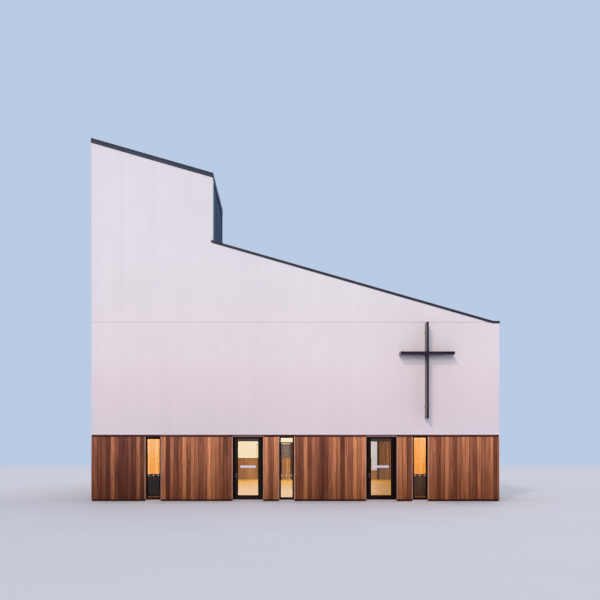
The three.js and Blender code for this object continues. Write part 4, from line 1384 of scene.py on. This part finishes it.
class CHURCH_OT_doors(bpy.types.Operator):
    """Both glazed doors with frames, hinges and levers"""
    bl_idname = "church.doors"
    bl_label = "Doors"
    bl_options = {"REGISTER", "UNDO"}

    def execute(self, context):
        door = context.scene.church_door
        back = DOOR_FACE + LEAF_DEPTH
        for number, x in enumerate(DOORS, 1):
            body = f"door_{number}"
            half = DOOR_WIDTH / 2
            pivot_x, pivot_y = x + LEAF_HALF + 0.004, DOOR_FACE - 0.018

            surround = Piece(f"{body}_surround")
            xs, zs = (x - half + 0.003, x + half - 0.003), (FLOOR, TIMBER_TOP)
            # The frame's head carries a painted reflection: it is paler than the rest of the frame.
            surround.ring(xs, (DOOR_FACE, DOOR_STOP + 0.001), zs, (0.057, 0.057, 0.02, 0.05),
                          "dark_aluminium", 0.003, "head_aluminium")
            surround.ring(xs, (DOOR_STOP, DOOR_FRAME_BACK), zs, (0.079, 0.079, 0.02, 0.072),
                          "dark_aluminium", 0.003)
            surround.ring((x - half + 0.0605, x + half - 0.0605), (DOOR_STOP - 0.0045, DOOR_STOP),
                          (0.08, 2.146), (0.014, 0.014, 0.005, 0.014), "gasket_rubber")
            for level in HINGE_LEVELS:
                hinge(surround, pivot_x, pivot_y, level, 1)
            surround.done("frame_metal", (f"{body}_frame",))

            leaf = Piece(f"{body}_panel")
            xs = (x - LEAF_HALF, x + LEAF_HALF)
            # The leaf's top rail carries a painted reflection: it is paler than the rest of the leaf.
            leaf.ring(xs, (DOOR_FACE, back), (LEAF_FOOT, LEAF_TOP), (STILE, STILE, BOTTOM_RAIL, STILE),
                      "dark_aluminium", 0.003, "head_aluminium")
            inner_x = (xs[0] + STILE, xs[1] - STILE)
            inner_z = (LEAF_FOOT + BOTTOM_RAIL, LEAF_TOP - STILE)
            glazing_rings(leaf, inner_x, inner_z, (DOOR_FACE, back), (0.001, 0.0082, 0.0109), door.bead_width)
            for level in HINGE_LEVELS:
                hinge(leaf, pivot_x, pivot_y, level + 0.0453, -1)
            leaf.done("frame_metal", (f"{body}_leaf",), body)

            handle = Piece(f"{body}_lever")
            lever(handle, xs[0] + STILE / 2, DOOR_FACE, -1)
            lever(handle, xs[0] + STILE / 2, back, 1)
            handle.done("handle_metal", (f"{body}_handle",), body)

            band = Piece(f"{body}_frosted_band")
            band.box((inner_x[0] + 0.09, inner_x[1] - 0.09), (DOOR_FACE + 0.0099, DOOR_FACE + 0.0109),
                     (door.band_low, door.band_high), "frosted_glass")
            band.done("glazing", (), body)
            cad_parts[f"{body}_glass"].material_slots[0].material = finish_named("clear_glass")
        return {"FINISHED"}


# Cross

class CHURCH_OT_cross(bpy.types.Operator):
    """Steel cross on its stubs"""
    bl_idname = "church.cross"
    bl_label = "Cross"
    bl_options = {"REGISTER", "UNDO"}

    def execute(self, context):
        look = context.scene.church_cross
        bar, arm = look.bar / 2, CROSS_ARM_SPAN / 2
        x, level = CROSS_X, CROSS_ARM_LEVEL
        over, under = level + bar, level - bar - look.drop
        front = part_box("cross")[0].y
        cross = Piece("wall_cross")
        outline = [(x - bar, CROSS_BOTTOM), (x + bar, CROSS_BOTTOM), (x + bar, under), (x + arm, under),
                   (x + arm, over), (x + bar, over), (x + bar, CROSS_TOP), (x - bar, CROSS_TOP),
                   (x - bar, over), (x - arm, over), (x - arm, under), (x - bar, under)]
        # Painted shade: the bars' undersides get the darkest tone and their left sides a darker tone than
        # their fronts.
        cross.put(prism(outline, "Y", (front, CROSS_BACK), look.edge, 2), "cross_paint",
                  lambda face: 0.0 if face.normal.z < -0.7 else 0.2 if face.normal.x < -0.7 else 0.55)
        stub, stub_middle = FRONT - CROSS_BACK - 0.002, (CROSS_BACK + FRONT) / 2 - 0.002
        stubs = ((x, CROSS_BOTTOM + 0.4), (x, CROSS_TOP - 0.3),
                 (x - arm + 0.12, level), (x + arm - 0.12, level))
        for px, pz in stubs:
            cross.put(rod(0.016, stub, (px, stub_middle, pz), "Y", 24), "cross_paint")
            cross.put(rod(look.rose / 2, 0.01, (px, FRONT - 0.005, pz), "Y", 32, 0.003), "cross_paint", 0.6)
            cross.put(rod(0.021, 0.012, (px, CROSS_BACK + 0.006, pz), "Y", 28, 0.003), "cross_paint", 0.6)
            for turn in (0.25, 0.75, 1.25, 1.75):
                along, up = 0.0215 * math.cos(turn * math.pi), 0.0215 * math.sin(turn * math.pi)
                bolt = rod(0.0042, 0.003, (px + along, FRONT - 0.0115, pz + up), "Y", 6, 0.0006)
                cross.put(bolt, "handle_steel")
        cross.done("cross_steel", ("cross",))
        return {"FINISHED"}


# Inside

def line_screen(name, node, xs, joints, base, chance):
    """A lined screen: core, base, rows of panels between its joints, and a rail."""
    screen = Piece(name)
    ys, face = (SCREEN_FACE + 0.018, SCREEN_BACK), (SCREEN_FACE + 0.003, SCREEN_FACE + 0.02)
    screen.box(xs, ys, (SCREEN_BASE_TOP, SCREEN_TOP), "screen_batten", 0.002)
    screen.box(xs, ys, (FLOOR, SCREEN_BASE_TOP), base, tone=0.2)
    rows = ((0.066, 0.885, base), (0.895, 1.324, "screen_ply"),
            (1.358, 2.13, "screen_ply"), (2.21, 2.69, "screen_ply"))
    stops = [(xs[0], 0.011), *joints, (xs[1], 0.011)]
    for (x0, half0), (x1, half1) in zip(stops, stops[1:]):
        for z0, z1, finish in rows:
            panel = (x0 + 0.004, x1 - 0.004) if finish == base else (x0 + half0, x1 - half1)
            screen.box(panel, face, (z0, z1), finish, 0.002, chance.uniform(0.3, 0.7))
    screen.box(xs, (SCREEN_FACE, SCREEN_FACE + 0.02), (2.135, 2.205), "screen_batten", 0.004, 0.8)
    screen.done("wood_lining", (node,))


def add_light(name, kind, power, tint):
    """A lamp of its kind, power and tint, and the object that holds it."""
    lamp = bpy.data.lights.new(name, kind)
    lamp.energy, lamp.color = power, tint
    holder = bpy.data.objects.new(name, lamp)
    bpy.context.scene.collection.objects.link(holder)
    return lamp, holder


class CHURCH_OT_interior(bpy.types.Operator):
    """Screens, rear lining and inside light"""
    bl_idname = "church.interior"
    bl_label = "Interior"
    bl_options = {"REGISTER", "UNDO"}

    def execute(self, context):
        chance = random.Random(5)
        line_screen("left_lined_screen", "left_screen", (-SIDE_INSIDE, LEFT_SCREEN_END),
                    ((-5.97, 0.02), (-5.25, 0.045), (-4.965, 0.03), (-4.45, 0.02)), "dark_panel", chance)
        line_screen("right_lined_screen", "right_screen", (RIGHT_SCREEN_END, SIDE_INSIDE),
                    ((4.0, 0.02), (4.548, 0.02), (5.2, 0.02), (5.9, 0.02)), "screen_base", chance)

        lining = Piece("rear_wall_lining")
        face, ys = REAR_INSIDE - 0.018, (REAR_INSIDE - 0.018, REAR_INSIDE - 0.001)

        def dado(start, end, count):
            """Boards and their rail between two places."""
            stops = [start + (end - start) * i / count for i in range(count + 1)]
            for x0, x1 in zip(stops, stops[1:]):
                lining.box((x0 + 0.003, x1 - 0.003), ys, (DADO_FOOT, DADO_TOP), "dado_timber", 0.002,
                           chance.uniform(0.2, 0.8))
            lining.box((start, end), (face - 0.02, ys[1]), (DADO_TOP, RAIL_TOP), "dado_timber", 0.004, 0.3)

        gaps = openings()
        for start, end in between(gaps, -SIDE_INSIDE, SIDE_INSIDE):
            dado(start, end, max(1, round((end - start) / 0.6)))
            lining.box((start, end), ys, (RAIL_TOP, TIMBER_TOP), "inner_plaster")
        for start, end in gaps[1:4]:
            dado(start, end, 2)
        lining.box((-SIDE_INSIDE, SIDE_INSIDE), ys, (TIMBER_TOP, LINING_TOP), "inner_plaster")
        lining.box((5.2, SIDE_INSIDE), (face - 0.026, face - 0.02), (0.075, 2.6), "screen_base", tone=0.6)
        gap_start, gap_end = around(SLITS[1], SLIT_WIDTH / 2)
        for start, end in ((PORTAL[0], gap_start - 0.004), (gap_end + 0.004, PORTAL[1])):
            boards = evenly(start, end, 0.12)
            for x0, x1 in zip(boards, boards[1:]):
                lining.box((x0, x1 - 0.004), (face - 0.04, face - 0.018), (DADO_FOOT, PORTAL_TOP),
                           "portal_timber", 0.003, chance.uniform(0.1, 0.9))
        lining.box((PORTAL[0] - 0.02, PORTAL[1] + 0.02), (face - 0.05, face), (PORTAL_TOP, PORTAL_TOP + 0.07),
                   "portal_timber", 0.004, 0.4)
        x = 5.36
        while x < SIDE_INSIDE - 0.03:
            lining.box((x, x + 0.036), (face - 0.056, face - 0.026), (0.075, 2.6), "batten_timber", 0.003,
                       chance.uniform(0.1, 0.9))
            x += 0.062
        lining.box((4.86, 5.2), (face - 0.03, face), (0.62, 2.5), "panel_white", 0.004)
        lining.done("wood_lining")

        for name, place, size, power, tint in (
                ("hall_light_left", (-5.0, -10.2, 2.62), (1.6, 0.5), 62.0, (1.0, 0.7, 0.36)),
                ("hall_light_right", (4.6, -10.2, 2.62), (1.8, 0.5), 62.0, (1.0, 0.7, 0.36)),
                ("nave_light_front", (0.0, -5.0, 5.2), (6.0, 6.0), 380.0, (1.0, 0.86, 0.6)),
                ("nave_light_rear", (0.0, 6.5, 5.2), (8.0, 5.0), 860.0, (0.92, 0.98, 0.95))):
            lamp, holder = add_light(name, "AREA", power, tint)
            lamp.shape, lamp.size, lamp.size_y = "RECTANGLE", size[0], size[1]
            holder.location = place
        return {"FINISHED"}


# Stage

def soft_backdrop(stage):
    """A plain world whose light on the building is weaker than what the camera sees."""
    world = bpy.data.worlds.new("soft_backdrop")
    world.use_nodes = True
    nodes, links = world.node_tree.nodes, world.node_tree.links
    backdrop, soft = nodes["Background"], nodes.new("ShaderNodeBackground")
    for background, power in ((backdrop, 1.0), (soft, stage.soft)):
        background.inputs["Color"].default_value = (*stage.sky, 1.0)
        background.inputs["Strength"].default_value = power
    path, both = nodes.new("ShaderNodeLightPath"), nodes.new("ShaderNodeMixShader")
    links.new(path.outputs["Is Camera Ray"], both.inputs[0])
    links.new(soft.outputs[0], both.inputs[1])
    links.new(backdrop.outputs[0], both.inputs[2])
    links.new(both.outputs[0], nodes["World Output"].inputs["Surface"])
    return world


class CHURCH_OT_stage(bpy.types.Operator):
    """Pale floor, soft light and camera"""
    bl_idname = "church.stage"
    bl_label = "Stage"
    bl_options = {"REGISTER", "UNDO"}

    def execute(self, context):
        scene = context.scene
        stage = scene.church_stage
        ground = new_part()
        bmesh.ops.create_circle(ground, cap_ends=True, segments=96, radius=125.0)
        mesh = bpy.data.meshes.new("pale_floor")
        ground.to_mesh(mesh)
        ground.free()
        mesh.materials.append(finish_named("stage_floor"))
        floor = bpy.data.objects.new("pale_floor", mesh)
        scene.collection.objects.link(floor)

        scene.world = soft_backdrop(stage)
        for name, to_light, power, angle, tint in (
                ("key_light", (-0.17, -1.0, 0.22), stage.sun, 19, (1.0, 0.894, 0.847)),
                ("crisp_light", (-0.43, -1.0, 0.6), stage.crisp, 4, (1.0, 0.73, 0.55)),
                ("fill_light", (0.3, 1.0, 0.9), stage.fill, 60, (0.96, 0.97, 1.0))):
            lamp, holder = add_light(name, "SUN", power, tint)
            lamp.angle = math.radians(angle)
            holder.rotation_mode = "QUATERNION"
            holder.rotation_quaternion = Vector(to_light).to_track_quat("Z", "Y")

        scene.view_settings.view_transform = "Khronos PBR Neutral"
        scene.view_settings.look = "None"

        lens = bpy.data.cameras.new("street_camera")
        lens.sensor_width = 36.0
        lens.lens = FOCAL_PIXELS / PHOTO_PIXELS * lens.sensor_width
        lens.shift_x = (PHOTO_PIXELS / 2 - EYE_PIXEL[0]) / PHOTO_PIXELS
        lens.shift_y = (EYE_PIXEL[1] - PHOTO_PIXELS / 2) / PHOTO_PIXELS
        lens.clip_end = 1000.0
        camera = bpy.data.objects.new("street_camera", lens)
        camera.location = (stage.station, FRONT - stage.distance, stage.eye)
        camera.rotation_euler = (math.pi / 2, 0, 0)
        scene.collection.objects.link(camera)
        scene.camera = camera
        return {"FINISHED"}


# Add-on

OPERATORS = [
    CHURCH_OT_floor, CHURCH_OT_front_cladding, CHURCH_OT_side_cladding, CHURCH_OT_white_walls,
    CHURCH_OT_roofs, CHURCH_OT_tower_walls, CHURCH_OT_copings, CHURCH_OT_gutter, CHURCH_OT_slit_windows,
    CHURCH_OT_side_windows, CHURCH_OT_doors, CHURCH_OT_cross, CHURCH_OT_interior, CHURCH_OT_stage,
]


class CHURCH_PT_panel(bpy.types.Panel):
    """Buttons for each group of pieces, and their settings"""
    bl_idname = "CHURCH_PT_panel"
    bl_label = "Modern Church"
    bl_space_type = "VIEW_3D"
    bl_region_type = "UI"
    bl_category = "Church"

    def draw(self, context):
        for made in OPERATORS:
            self.layout.operator(made.bl_idname)
        for name in SETTINGS:
            group = getattr(context.scene, name)
            box = self.layout.box()
            for key in group.bl_rna.properties.keys():
                if key not in {"rna_type", "name"}:
                    box.prop(group, key)


SETTINGS = {
    "church_timber": ChurchTimberSettings,
    "church_wall": ChurchWallSettings,
    "church_metal": ChurchMetalSettings,
    "church_door": ChurchDoorSettings,
    "church_cross": ChurchCrossSettings,
    "church_stage": ChurchStageSettings,
}
CLASSES = list(SETTINGS.values()) + OPERATORS + [CHURCH_PT_panel]


def register():
    for made in CLASSES:
        bpy.utils.register_class(made)
    for name, group in SETTINGS.items():
        setattr(bpy.types.Scene, name, PointerProperty(type=group))


def unregister():
    for name in SETTINGS:
        delattr(bpy.types.Scene, name)
    for made in reversed(CLASSES):
        bpy.utils.unregister_class(made)


def main():
    register()
    for made in OPERATORS:
        getattr(bpy.ops.church, made.bl_idname.split(".")[1])()
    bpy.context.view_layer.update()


if __name__ == "__main__":
    main()
